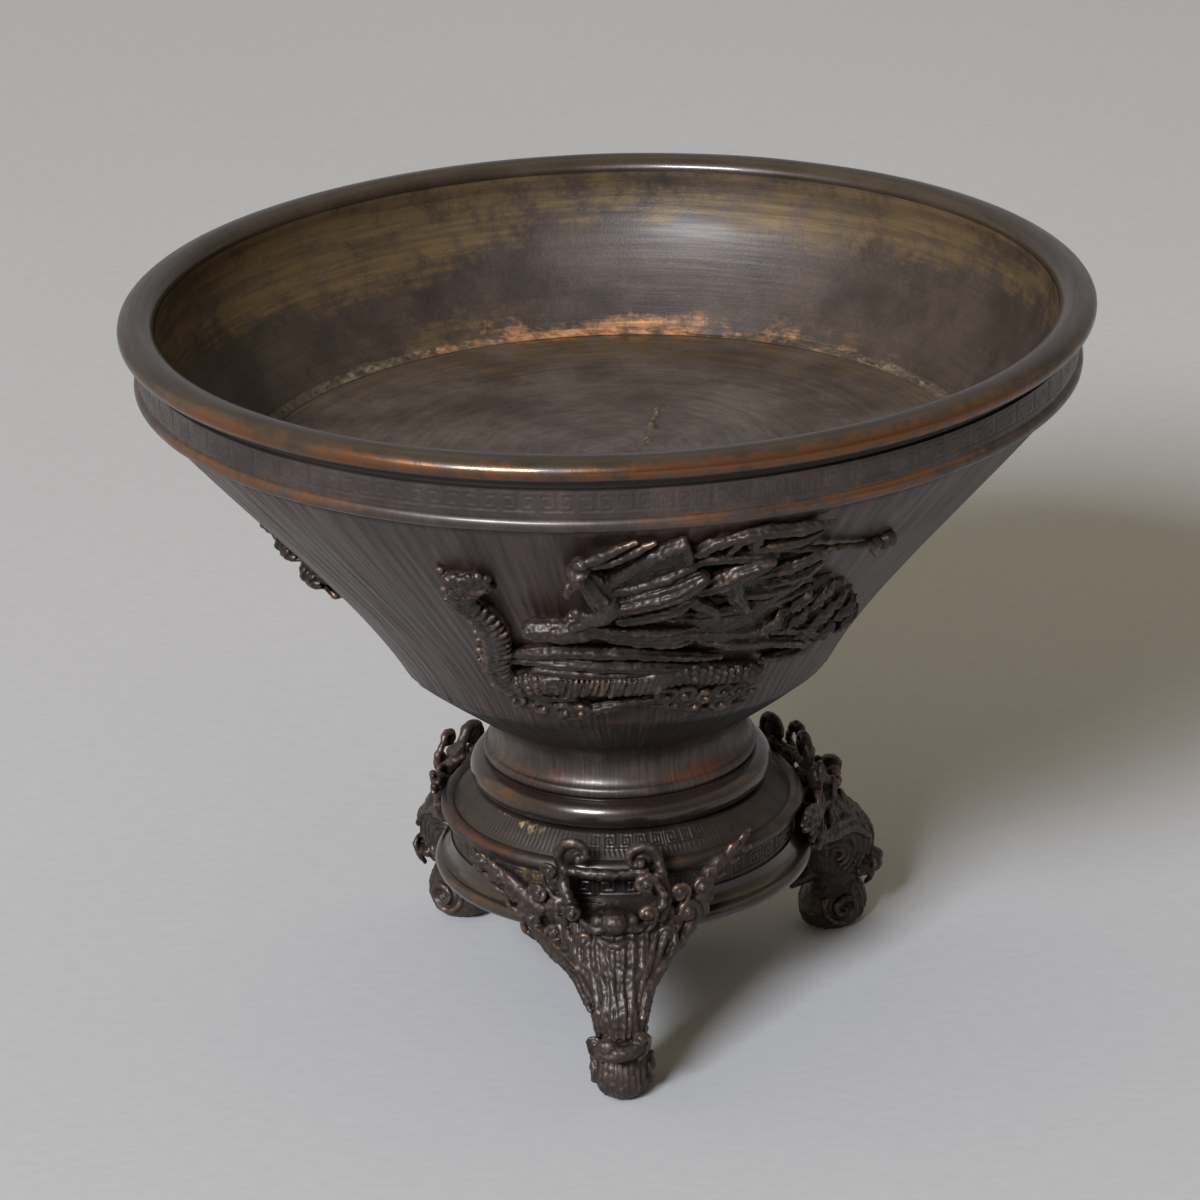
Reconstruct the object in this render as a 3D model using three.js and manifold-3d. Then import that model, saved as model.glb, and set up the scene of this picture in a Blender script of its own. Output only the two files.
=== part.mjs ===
// A bronze footed bowl: a trumpet-shaped basin on a waisted neck, a moulded round base and three
// scroll legs. Millimetres, +Z up, the ground at z = 0 and the bowl's axis through the origin.
// Azimuths are degrees round the axis: 0 points to -Y, where the front leg stands, and 90 to +X.
import * as THREE from 'three';
import { mergeVertices } from 'three/addons/utils/BufferGeometryUtils.js';
import loadManifold from 'manifold-3d';

// Seams and facets
const BRAZE_GAP = 0.3;
const BOWL_FACETS = 48;
const BASE_FACETS = 32;
const TRUNK_SIDES = 10;
const BAR_SIDES = 5;
const CUSHION_SIDES = 7;

// Rim
const RIM_RADIUS = 120;
const LIP_OVERHANG = 5.8;
const LIP_HEIGHT = 5.7;
const LIP_ARC_START = -0.95;
const COLLAR_THICKNESS = 1.2;
const COLLAR_BEAD_RADIUS = 1.9;
const COLLAR_RECESS = 1.8;
const RIM_UPRIGHT = 13;

// Basin
const WALL_THICKNESS = 3.2;
const WALL_RISE = 73.8;
const WALL_FOOT_SLOPE = 0.55;
const WALL_HEAD_SLOPE = 0.83;
const BELLY_RADIUS = 54.5;
const BELLY_RISE = 14.4;
const BASIN_DEPTH = 41.6;
const BASIN_BEND = 17;
const FLOOR_THICKNESS = 3;
const SOLDER_WIDTH = 2.6;
const SOLDER_HEIGHT = 2;
const SOLDER_BEVEL = 1;

// Neck and its two spigots
const NECK_HEIGHT = 13;
const NECK_LEDGE_RADIUS = 34.9;
const NECK_LEDGE_HEIGHT = 1.3;
const NECK_WAIST_RADIUS = 32.6;
const NECK_TOP_RADIUS = 35.6;
const NECK_BORE_RADIUS = 24;
const TOP_SPIGOT_RADIUS = 28;
const TOP_SPIGOT_RISE = 2.2;
const TENON_RADIUS = 29;

// Base mouldings
const FOOT_RING_RADIUS = 38.25;
const FOOT_RING_HEIGHT = 7.3;
const PLATFORM_OVERHANG = 2.7;
const PLATFORM_HEIGHT = 8.7;
const PLATFORM_CROWN = 3.6;
const PLATFORM_EDGE_BEAD = 2;
const PLATFORM_SHELL = 3.4;
const DRUM_RADIUS = 43.4;
const DRUM_WALL = 6.4;
const DRUM_HEIGHT = 10.3;
const SKIRT_OVERHANG = 4.7;
const SKIRT_HEIGHT = 3.6;
const SKIRT_COVE = 4.4;
const LOCATING_LIP_WIDTH = 2.4;
const LOCATING_LIP_RISE = 1.6;
const STAND_HEIGHT = 35.2;

// Legs
const FRONT_LEG_AZIMUTH = 0;
const RIGHT_LEG_AZIMUTH = 121;
const LEFT_LEG_AZIMUTH = -134;
const FOOT_CIRCLE_RADIUS = 62.5;
const PAW_DEPTH = 20.4;
const PAW_WIDTH = 14.8;
const KNEE_REACH = 27.4;
const ANKLE_WIDTH = 12.2;
const MANE_SPREAD = 44;
const CREST_WIDTH = 23;
const CREST_BAR_THICKNESS = 2.5;
const CREST_RISE = 6.6;
const VOLUTE_THICKNESS = 3;
const CURL_RADIUS = 2.5;
const TENDRIL_REACH = 34;
const NOSE_RADIUS = 2.8;
const LEG_TENON_WIDTH = 9;
const LEG_TENON_HEIGHT = 4;
const LEG_TENON_LENGTH = 5;

// Relief castings on the wall
const FRONT_RELIEF_AZIMUTH = 0;
const RIGHT_RELIEF_AZIMUTH = 118;
const LEFT_RELIEF_AZIMUTH = -124;
const BEAST_GIRTH = 8.8;
const RIDER_GIRTH = 10.4;
const HEAD_RADIUS = 3.9;
const STAFF_THICKNESS = 2;
const GOURD_RADIUS = 2.6;
const WAVE_THICKNESS = 5;
const RELIEF_LIFT = 1.2;
const RELIEF_GRID = 1;

// Finishes
const CAST_BROWN = { color: 0x3a2c26, roughness: 0.5, metalness: 0.85 };
const RUBBED_COPPER = { color: 0x5a3a28, roughness: 0.36, metalness: 0.9 };
const INNER_BROWN = { color: 0x42352c, roughness: 0.55, metalness: 0.8 };
const RELIEF_BROWN = { color: 0x33271f, roughness: 0.42, metalness: 0.88 };
const SOLDER_GREY = { color: 0x6f675c, roughness: 0.8, metalness: 0.5 };

// Heights of the stacked castings, from the ground up
const skirtTop = STAND_HEIGHT + SKIRT_HEIGHT;
const drumBottom = skirtTop + BRAZE_GAP;
const drumTop = drumBottom + DRUM_HEIGHT;
const platformBottom = drumTop + BRAZE_GAP;
const platformTop = platformBottom + PLATFORM_HEIGHT;
const footRingBottom = platformTop + BRAZE_GAP;
const footRingTop = footRingBottom + FOOT_RING_HEIGHT;
const neckBottom = footRingTop + BRAZE_GAP;
const neckTop = neckBottom + NECK_HEIGHT;
const bowlBottom = neckTop + BRAZE_GAP;
const bellyHeight = bowlBottom + BELLY_RISE;
const wallTop = bellyHeight + WALL_RISE;
const rimTop = wallTop + RIM_UPRIGHT;
const lipBottom = rimTop + BRAZE_GAP;
const floorTop = lipBottom + LIP_HEIGHT - BASIN_DEPTH;

// Radii that several castings share
const wallTopRadius = RIM_RADIUS - LIP_OVERHANG;
const platformRadius = DRUM_RADIUS + PLATFORM_OVERHANG;
const skirtRadius = DRUM_RADIUS + SKIRT_OVERHANG;
const drumBore = DRUM_RADIUS - DRUM_WALL;
const lipSeatRadius = drumBore + LOCATING_LIP_WIDTH;
const baseBore = lipSeatRadius + BRAZE_GAP;
const tenonBore = TENON_RADIUS + BRAZE_GAP;
const platformSeat = FOOT_RING_RADIUS - FOOT_RING_HEIGHT / 4;
const kneeReach = skirtRadius + KNEE_REACH;
const coveRadius = DRUM_RADIUS + BRAZE_GAP;
const coveTop = skirtTop + SKIRT_COVE;

const wasm = await loadManifold();
wasm.setup();

/** A closed solid for boolean work, from any closed three.js geometry. */
function solidOf(geometry) {
  const bare = geometry.clone();
  bare.deleteAttribute('normal');
  bare.deleteAttribute('uv');
  const merged = mergeVertices(bare, 1e-4);
  return new wasm.Manifold(new wasm.Mesh({
    numProp: 3,
    vertProperties: new Float32Array(merged.attributes.position.array),
    triVerts: new Uint32Array(merged.index.array),
  }));
}

/** The three.js geometry of a boolean solid. */
function geometryOf(solid) {
  const mesh = solid.getMesh();
  const geometry = new THREE.BufferGeometry();
  geometry.setAttribute('position', new THREE.BufferAttribute(new Float32Array(mesh.vertProperties), 3));
  geometry.setIndex(new THREE.BufferAttribute(new Uint32Array(mesh.triVerts), 1));
  geometry.computeVertexNormals();
  return geometry;
}

/** The union of several closed geometries. */
function join(geometries) {
  return geometries.map(solidOf).reduce((whole, solid) => whole.add(solid));
}

/** A triangle mesh with its faces turned outwards. */
function closedGeometry(points, triangles) {
  const volume = triangles.reduce((sum, [a, b, c]) => (
    sum + points[a].dot(points[b].clone().cross(points[c]))), 0);
  const outward = volume > 0 ? triangles : triangles.map(([a, b, c]) => [a, c, b]);
  const geometry = new THREE.BufferGeometry().setFromPoints(points);
  geometry.setIndex(outward.flat());
  geometry.computeVertexNormals();
  return geometry;
}

/** A skin over equal rings of points, closed by a fan at each end. */
function loft(rings) {
  const sides = rings[0].length;
  const points = rings.flat();
  const triangles = [];
  for (let ring = 0; ring + 1 < rings.length; ring += 1) {
    for (let side = 0; side < sides; side += 1) {
      const next = (side + 1) % sides;
      const [a, b] = [ring * sides + side, ring * sides + next];
      triangles.push([a, b, b + sides], [a, b + sides, a + sides]);
    }
  }
  const lastRing = points.length - sides;
  for (let side = 1; side + 1 < sides; side += 1) {
    triangles.push([0, side + 1, side], [lastRing, lastRing + side, lastRing + side + 1]);
  }
  return closedGeometry(points, triangles);
}

/** A round bar through the given points, whose radius passes through the given radii. */
function taperedBar(points, radii, { sides = BAR_SIDES, steps = 1 } = {}) {
  const curve = new THREE.CatmullRomCurve3(points, false, 'centripetal');
  const frames = curve.computeFrenetFrames(steps);
  const rings = [];
  for (let step = 0; step <= steps; step += 1) {
    const place = (step / steps) * (radii.length - 1);
    const before = Math.min(Math.floor(place), radii.length - 2);
    const radius = THREE.MathUtils.lerp(radii[before], radii[before + 1], place - before);
    const centre = curve.getPointAt(step / steps);
    rings.push(Array.from({ length: sides }, (_, side) => {
      const turn = (2 * Math.PI * side) / sides;
      return centre.clone()
        .addScaledVector(frames.normals[step], radius * Math.cos(turn))
        .addScaledVector(frames.binormals[step], radius * Math.sin(turn));
    }));
  }
  return loft(rings);
}

/** A turned body from [radius, height] points, which close on themselves or end on the axis. */
function turned(outline, facets) {
  const points = outline.map(([radius, height]) => new THREE.Vector2(radius, height));
  const area = points.reduce((sum, point, i) => sum + point.cross(points[(i + 1) % points.length]), 0);
  const ordered = area > 0 ? points : points.reverse();
  if (ordered[0].x > 0) ordered.push(ordered[0].clone());
  return new THREE.LatheGeometry(ordered, facets).rotateX(Math.PI / 2);
}

/** Points [radius, height] on an ellipse's arc, angles in radians from the outward direction. */
function arc([radius, height], [halfWidth, halfHeight], start, end, steps) {
  return Array.from({ length: steps + 1 }, (_, step) => {
    const angle = start + ((end - start) * step) / steps;
    return [radius + halfWidth * Math.cos(angle), height + halfHeight * Math.sin(angle)];
  });
}

/** A flat curve's points as [radius, height] pairs. */
function sampled(curve, steps) {
  return curve.getPoints(steps).map(({ x, y }) => [x, y]);
}

/** An open outline moved sideways by a distance, to the left of its direction of travel. */
function offset(outline, distance) {
  return outline.map(([x, y], i) => {
    const [ax, ay] = outline[Math.max(i - 1, 0)];
    const [bx, by] = outline[Math.min(i + 1, outline.length - 1)];
    const length = Math.hypot(bx - ax, by - ay);
    return [x - (distance * (by - ay)) / length, y + (distance * (bx - ax)) / length];
  });
}

/** The radius of an upward outline at a height. */
function radiusAt(outline, height) {
  const above = outline.findIndex(([, z]) => z >= height);
  const [r1, z1] = outline[Math.max(above, 1)];
  const [r0, z0] = outline[Math.max(above, 1) - 1];
  return r0 + ((r1 - r0) * (height - z0)) / (z1 - z0);
}

/** The curved outside of the bowl, from the neck seat to the foot of the upright rim. */
function bowlOutline() {
  const vector = (radius, height) => new THREE.Vector2(radius, height);
  const belly = vector(BELLY_RADIUS, bellyHeight);
  const under = new THREE.QuadraticBezierCurve(
    vector(NECK_TOP_RADIUS, bowlBottom),
    vector(NECK_TOP_RADIUS + (BELLY_RADIUS - NECK_TOP_RADIUS) * 0.62, bowlBottom + BELLY_RISE * 0.57),
    belly,
  );
  const footHandle = WALL_RISE * 0.3;
  const headHandle = WALL_RISE * 0.4;
  const wall = new THREE.CubicBezierCurve(
    belly,
    vector(BELLY_RADIUS + WALL_FOOT_SLOPE * footHandle, bellyHeight + footHandle),
    vector(wallTopRadius - WALL_HEAD_SLOPE * headHandle, wallTop - headHandle),
    vector(wallTopRadius, wallTop),
  );
  return [...sampled(under, 2), ...sampled(wall, 6).slice(1)];
}

const outside = bowlOutline();
const inside = basinOutline();

/** The inner face of the bowl, from the neck's seat up, which bends upright below the rim. */
function basinOutline() {
  const flare = offset(outside, WALL_THICKNESS).filter((_, i) => i % 2 === 0).slice(0, -1);
  const upright = wallTopRadius - WALL_THICKNESS;
  const bendFoot = wallTop - BASIN_BEND;
  const bend = new THREE.QuadraticBezierCurve(
    new THREE.Vector2(radiusAt([...flare, [upright, wallTop]], bendFoot), bendFoot),
    new THREE.Vector2(upright, wallTop),
    new THREE.Vector2(upright, rimTop),
  );
  return [...flare.filter(([, height]) => height < bendFoot), ...sampled(bend, 3)];
}

/** The hollow trumpet wall, with a seat for the neck below and an upright edge above. */
function bowlWall() {
  const bore = TOP_SPIGOT_RADIUS + BRAZE_GAP;
  return turned([
    [bore, bowlBottom],
    ...outside,
    [wallTopRadius, rimTop],
    ...inside.slice().reverse(),
    [bore, inside[0][1]],
  ], BOWL_FACETS);
}

/** The rolled lip: a flat seat under a half oval, whose inner side drops straight to the wall. */
function lipRing() {
  const halfWidth = (LIP_OVERHANG + WALL_THICKNESS) / 2;
  const halfHeight = LIP_HEIGHT / (1 - Math.sin(LIP_ARC_START));
  const centre = [RIM_RADIUS - halfWidth, lipBottom + LIP_HEIGHT - halfHeight];
  const roll = arc(centre, [halfWidth, halfHeight], LIP_ARC_START, Math.PI, 7);
  return turned([...roll, [RIM_RADIUS - 2 * halfWidth, lipBottom]], BOWL_FACETS);
}

/** The thin collar strip round the upright rim: a half-round bead below, and a recess under the lip. */
function collarBand() {
  const inner = wallTopRadius + BRAZE_GAP;
  const outer = inner + COLLAR_THICKNESS;
  const beadHeight = wallTop + COLLAR_BEAD_RADIUS + BRAZE_GAP;
  const beadCentre = [inner + BRAZE_GAP, beadHeight];
  const bead = arc(beadCentre, [COLLAR_BEAD_RADIUS, COLLAR_BEAD_RADIUS], -Math.PI / 2, Math.PI / 3, 4);
  return turned([
    [inner, beadHeight - COLLAR_BEAD_RADIUS],
    ...bead,
    [outer, beadHeight + COLLAR_BEAD_RADIUS],
    [outer, rimTop - COLLAR_RECESS],
    [inner + COLLAR_THICKNESS / 3, rimTop],
    [inner, rimTop],
  ], BOWL_FACETS);
}

/** The outer corner of the solder run, where the floor meets the wall. */
function solderCorner() {
  return radiusAt(inside, floorTop + BRAZE_GAP) - BRAZE_GAP * 2;
}

/** The flat floor, wedged inside the wall, with a bevel round its edge that takes the solder. */
function floorDisc() {
  const floorBottom = floorTop - FLOOR_THICKNESS;
  const bevelFoot = floorTop - SOLDER_BEVEL;
  return turned([
    [0, floorBottom],
    [radiusAt(inside, floorBottom) - BRAZE_GAP * 2, floorBottom],
    [radiusAt(inside, bevelFoot) - BRAZE_GAP * 2, bevelFoot],
    [solderCorner() - SOLDER_WIDTH - BRAZE_GAP, floorTop],
    [0, floorTop],
  ], BOWL_FACETS);
}

/** The run of solder in the corner between floor and wall. */
function floorSolderSeam() {
  const foot = floorTop + BRAZE_GAP;
  const corner = solderCorner();
  const head = radiusAt(inside, foot + SOLDER_HEIGHT) - BRAZE_GAP * 2;
  return turned([
    [corner - SOLDER_WIDTH, foot],
    [corner, foot],
    [head, foot + SOLDER_HEIGHT],
    [(corner - SOLDER_WIDTH + head) / 2, foot + SOLDER_HEIGHT * 0.65],
  ], BOWL_FACETS);
}

/** The waisted neck: a spigot into the bowl above and a tenon through the base below. */
function neckStem() {
  const foot = new THREE.Vector2(NECK_LEDGE_RADIUS - NECK_LEDGE_HEIGHT / 2, neckBottom + NECK_LEDGE_HEIGHT);
  const head = new THREE.Vector2(NECK_TOP_RADIUS, neckTop);
  const pull = NECK_WAIST_RADIUS - (foot.x + 3 * NECK_WAIST_RADIUS + head.x) / 5;
  const waist = new THREE.CubicBezierCurve(
    foot,
    new THREE.Vector2(NECK_WAIST_RADIUS + pull, neckBottom + NECK_HEIGHT * 0.32),
    new THREE.Vector2(NECK_WAIST_RADIUS + pull, neckBottom + NECK_HEIGHT * 0.8),
    head,
  );
  return turned([
    [NECK_BORE_RADIUS, platformBottom],
    [TENON_RADIUS, platformBottom],
    [TENON_RADIUS, neckBottom],
    [NECK_LEDGE_RADIUS, neckBottom],
    [NECK_LEDGE_RADIUS, neckBottom + NECK_LEDGE_HEIGHT * 0.7],
    ...sampled(waist, 4),
    [TOP_SPIGOT_RADIUS, neckTop],
    [TOP_SPIGOT_RADIUS, neckTop + TOP_SPIGOT_RISE],
    [NECK_BORE_RADIUS, neckTop + TOP_SPIGOT_RISE],
  ], BASE_FACETS);
}

/** The half-round ring under the neck. */
function footRing() {
  const half = FOOT_RING_HEIGHT / 2;
  const centre = [FOOT_RING_RADIUS - half, footRingBottom + half];
  return turned([
    [tenonBore, footRingBottom],
    ...arc(centre, [half, half], -Math.PI / 2, Math.PI / 2, 6),
    [tenonBore, footRingTop],
  ], BASE_FACETS);
}

/** The outside of the platform, from the underside of its bead up to the foot ring's seat. */
function platformOutline() {
  const bead = PLATFORM_EDGE_BEAD;
  const centre = [platformRadius - bead, platformBottom + bead];
  return [
    ...arc(centre, [bead, bead], -Math.PI / 2, Math.PI * 0.72, 5),
    [(platformSeat + centre[0] - bead) / 2, platformTop - PLATFORM_CROWN * 0.55],
    [platformSeat, platformTop],
  ];
}

/** The domed platform: a shell with a rounded raised edge, hollow underneath. */
function platform() {
  const roof = platformTop - PLATFORM_SHELL;
  return turned([
    [baseBore, platformBottom],
    ...platformOutline(),
    [tenonBore, platformTop],
    [tenonBore, roof],
    [tenonBore + PLATFORM_SHELL, roof],
    [baseBore, platformBottom + LOCATING_LIP_RISE + BRAZE_GAP],
  ], BASE_FACETS);
}

/** The recessed drum, located by a lip above and below, with a slot for each leg's tenon. */
function fretDrum() {
  const wall = solidOf(turned([
    [drumBore, drumBottom - LOCATING_LIP_RISE],
    [lipSeatRadius, drumBottom - LOCATING_LIP_RISE],
    [lipSeatRadius, drumBottom],
    [DRUM_RADIUS, drumBottom],
    [DRUM_RADIUS, drumTop],
    [lipSeatRadius, drumTop],
    [lipSeatRadius, drumTop + LOCATING_LIP_RISE],
    [drumBore, drumTop + LOCATING_LIP_RISE],
  ], BASE_FACETS));
  const slots = LEGS.map(([, azimuth]) => solidOf(legTenon(BRAZE_GAP).rotateZ(radians(azimuth))));
  return geometryOf(slots.reduce((body, slot) => body.subtract(slot), wall));
}

/** The skirt ring at the foot of the base: a round edge below a cove that climbs the drum. */
function skirtRing() {
  const half = SKIRT_HEIGHT / 2;
  const centre = [skirtRadius - half, STAND_HEIGHT + half];
  const cove = new THREE.QuadraticBezierCurve(
    new THREE.Vector2(centre[0], skirtTop),
    new THREE.Vector2(coveRadius + BRAZE_GAP, skirtTop),
    new THREE.Vector2(coveRadius + BRAZE_GAP, coveTop),
  );
  return turned([
    [baseBore, STAND_HEIGHT],
    ...arc(centre, [half, half], -Math.PI / 2, Math.PI / 3, 4),
    ...sampled(cove, 3),
    [coveRadius, coveTop],
    [coveRadius, skirtTop],
    [baseBore, skirtTop],
  ], BASE_FACETS);
}

/** The space round the base that the legs stay out of, a seam wide of it. */
function baseEnvelope() {
  const outward = 1 / Math.cos(Math.PI / BASE_FACETS);
  const outline = [
    [0, STAND_HEIGHT - BRAZE_GAP],
    [skirtRadius + BRAZE_GAP, STAND_HEIGHT - BRAZE_GAP],
    [skirtRadius + BRAZE_GAP, skirtTop],
    [coveRadius + 2 * BRAZE_GAP, coveTop],
    [coveRadius, coveTop + BRAZE_GAP],
    [coveRadius, platformBottom - BRAZE_GAP],
    [platformRadius + BRAZE_GAP, platformBottom - BRAZE_GAP],
    [platformRadius + BRAZE_GAP, platformBottom + 2 * PLATFORM_EDGE_BEAD + BRAZE_GAP],
    [platformSeat, platformTop + BRAZE_GAP],
    [0, platformTop + BRAZE_GAP],
  ];
  return solidOf(turned(outline.map(([radius, height]) => [radius * outward, height]), BASE_FACETS));
}

/** An angle in radians. */
function radians(degrees) {
  return THREE.MathUtils.degToRad(degrees);
}

/** A point of a leg: sideways along the base, outwards from the axis, and up. */
function legPoint(side, reach, height) {
  return new THREE.Vector3(side, -reach, height);
}

/** Wraps a leg's flat geometry round the base, keeping lengths along the base. */
function wrapped(geometry) {
  const positions = geometry.attributes.position;
  for (let i = 0; i < positions.count; i += 1) {
    const reach = -positions.getY(i);
    const turn = positions.getX(i) / reach;
    positions.setXY(i, reach * Math.sin(turn), -reach * Math.cos(turn));
  }
  return geometry;
}

/** The leg's trunk: level rounded sections from the flat pad up to the spreading mane. */
function legTrunk() {
  const inner = FOOT_CIRCLE_RADIUS - PAW_DEPTH / 2;
  const paw = (share, width) => [FOOT_CIRCLE_RADIUS - (share * PAW_DEPTH) / 2,
    FOOT_CIRCLE_RADIUS + (share * PAW_DEPTH) / 2, (width * PAW_WIDTH) / 2];
  const maneHeight = drumBottom + DRUM_HEIGHT * 0.42;
  const sections = [
    [0, ...paw(0.5, 0.62)],
    [STAND_HEIGHT * 0.05, ...paw(0.84, 0.88)],
    [STAND_HEIGHT * 0.16, ...paw(1, 1)],
    [STAND_HEIGHT * 0.27, ...paw(0.93, 0.94)],
    [STAND_HEIGHT * 0.36, inner + 1.2, kneeReach - 3.2, ANKLE_WIDTH / 2],
    [STAND_HEIGHT * 0.5, inner + 1.8, kneeReach - 0.6, ANKLE_WIDTH / 2],
    [STAND_HEIGHT * 0.61, inner + 1.4, kneeReach, ANKLE_WIDTH * 0.55],
    [STAND_HEIGHT * 0.74, inner - 0.2, kneeReach - 1.4, ANKLE_WIDTH * 0.66],
    [STAND_HEIGHT * 0.88, inner - 3, kneeReach - 4.6, MANE_SPREAD * 0.235],
    [STAND_HEIGHT, inner - 7.5, kneeReach - 8.4, MANE_SPREAD * 0.32],
    [skirtTop + BRAZE_GAP, inner - 11, kneeReach - 12.4, MANE_SPREAD * 0.42],
    [maneHeight, drumBore + 4, kneeReach - 17.4, MANE_SPREAD / 2],
    [maneHeight + 2.6, drumBore + 4, kneeReach - 18.6, MANE_SPREAD * 0.45],
  ];
  return loft(sections.map(([height, near, far, half]) => Array.from({ length: TRUNK_SIDES }, (_, i) => {
    const turn = (2 * Math.PI * i) / TRUNK_SIDES;
    const [c, s] = [Math.cos(turn), Math.sin(turn)];
    const swell = (value) => Math.sign(value) * Math.abs(value) ** 0.82;
    return legPoint(half * swell(c), (near + far) / 2 + ((far - near) / 2) * swell(s), height);
  })));
}

/** The open crest: a level bar between two volutes that curl up and inwards. */
function legCrest() {
  const reach = platformRadius + CREST_BAR_THICKNESS;
  const half = CREST_WIDTH / 2;
  const level = platformBottom + PLATFORM_EDGE_BEAD + 1;
  const bar = taperedBar(
    [-0.8, 0, 0.8].map((share) => legPoint(half * share, reach, level)),
    [CREST_BAR_THICKNESS / 2, CREST_BAR_THICKNESS / 2],
    { sides: 6, steps: 2 },
  );
  const volutes = [-1, 1].map((side) => taperedBar([
    legPoint(side * half * 0.62, reach, level),
    legPoint(side * half * 0.96, reach, level + CREST_RISE * 0.3),
    legPoint(side * half * 0.94, reach, level + CREST_RISE * 0.8),
    legPoint(side * half * 0.68, reach, level + CREST_RISE),
    legPoint(side * half * 0.5, reach, level + CREST_RISE * 0.68),
  ], [VOLUTE_THICKNESS * 0.5, VOLUTE_THICKNESS * 0.55, VOLUTE_THICKNESS * 0.4], { steps: 5 }));
  return [bar, ...volutes];
}

/** The two cheek scrolls that sweep out from the crest and down to the brow. */
function legCheeks() {
  const half = CREST_WIDTH / 2;
  return [-1, 1].map((side) => taperedBar([
    legPoint(side * half * 0.92, platformRadius + CREST_BAR_THICKNESS, platformBottom + 4.6),
    legPoint(side * half * 0.95, kneeReach - 21.5, platformBottom + 4.4),
    legPoint(side * half * 0.8, kneeReach - 17.5, platformBottom + 1),
    legPoint(side * half * 0.6, kneeReach - 17.2, drumTop - 4.4),
    legPoint(side * half * 0.45, kneeReach - 19, drumBottom + 3),
  ], [VOLUTE_THICKNESS * 0.65, VOLUTE_THICKNESS * 0.75, VOLUTE_THICKNESS * 0.8], { steps: 4 }));
}

/** The mask's nose, and the horn on each side that stands out and curls under. */
function legMask() {
  const nose = new THREE.SphereGeometry(NOSE_RADIUS, 6, 5).translate(0, 17.6 - kneeReach, drumTop - 3.6);
  const horns = [-1, 1].map((side) => taperedBar([
    legPoint(side * 6, kneeReach - 20, drumTop - 4.6),
    legPoint(side * 9.5, kneeReach - 15.5, drumTop - 1.4),
    legPoint(side * 11.8, kneeReach - 12.6, drumTop - 2),
    legPoint(side * 12, kneeReach - 12.4, drumTop - 4.6),
  ], [VOLUTE_THICKNESS * 0.8, VOLUTE_THICKNESS * 0.72, VOLUTE_THICKNESS * 0.62], { steps: 3 }));
  return [nose, ...horns];
}

/** Rows of curl ends along the mane, each a short round boss facing outwards. */
function legCurls() {
  const reach = skirtRadius + CURL_RADIUS * 1.5;
  const half = MANE_SPREAD / 2;
  const places = [
    [half * 0.42, reach + 4.6, drumBottom + DRUM_HEIGHT * 0.36],
    [half * 0.9, reach, drumBottom + DRUM_HEIGHT * 0.46],
    [half * 1.1, reach - 1.4, drumBottom + DRUM_HEIGHT * 0.92],
  ];
  return places.flatMap(([side, out, height]) => [-1, 1].map((hand) => (
    new THREE.CylinderGeometry(CURL_RADIUS * 0.8, CURL_RADIUS, CURL_RADIUS * 3, 6)
      .rotateX(Math.PI).translate(hand * side, -out + CURL_RADIUS, height))));
}

/** The leafy tendril on each side that runs up along the platform's edge. */
function legTendrils() {
  const reach = platformRadius + 1;
  return [-1, 1].map((side) => taperedBar([
    legPoint(side * MANE_SPREAD * 0.36, reach, drumBottom + DRUM_HEIGHT * 0.5),
    legPoint(side * MANE_SPREAD * 0.5, reach + 0.6, drumBottom + DRUM_HEIGHT * 0.75),
    legPoint(side * TENDRIL_REACH * 0.82, reach + 0.8, platformBottom + 1),
    legPoint(side * TENDRIL_REACH, reach + 0.4, platformBottom + PLATFORM_EDGE_BEAD * 2),
  ], [4, 3.2, 2.2, 1.1], { steps: 3 }));
}

/** The round knee whorl on both flanks, and the tufts before and behind the ankle. */
function legWhorls() {
  const flank = (radius, width, reach, height) => new THREE.CylinderGeometry(radius, radius, width, 9)
    .rotateZ(Math.PI / 2).translate(0, -reach, height);
  const tuft = (from, to) => taperedBar([from, to].map((place) => legPoint(0, ...place)), [2.4, 0.5]);
  const heel = FOOT_CIRCLE_RADIUS - PAW_DEPTH / 2;
  return [
    flank(8.2, ANKLE_WIDTH + 2.4, FOOT_CIRCLE_RADIUS - 0.6, STAND_HEIGHT * 0.62),
    tuft([kneeReach - 4.5, STAND_HEIGHT * 0.42], [kneeReach + 1.8, STAND_HEIGHT * 0.29]),
    tuft([heel + 2.2, STAND_HEIGHT * 0.42], [heel - 3.2, STAND_HEIGHT * 0.37]),
  ];
}

/** The square peg behind the mane that enters the drum's slot. */
function legTenon(clearance = 0) {
  const length = 2 * LEG_TENON_LENGTH;
  const centre = DRUM_RADIUS - LEG_TENON_LENGTH + length / 2 - clearance / 2;
  return new THREE.BoxGeometry(
    LEG_TENON_WIDTH + 2 * clearance,
    length + clearance,
    LEG_TENON_HEIGHT + 2 * clearance,
  ).translate(0, -centre, (coveTop + drumTop) / 2);
}

/** One scroll leg, seated against the base and ready to be turned to its azimuth. */
function scrollLeg() {
  const forms = [legTrunk(), ...legCrest(), ...legCheeks(), ...legMask(), ...legCurls(),
    ...legTendrils(), ...legWhorls()];
  const seated = join(forms.map(wrapped)).subtract(baseEnvelope());
  return geometryOf(seated.add(solidOf(legTenon())));
}

/** The radius of the wall's outside at a share of its rise. */
function wallRadius(share) {
  return radiusAt(outside, bellyHeight + WALL_RISE * share);
}

/** An angle round the axis, from grid steps along the wall at a share of its rise. */
function wallTurn(along, share) {
  return (along * RELIEF_GRID) / wallRadius(share);
}

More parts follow.
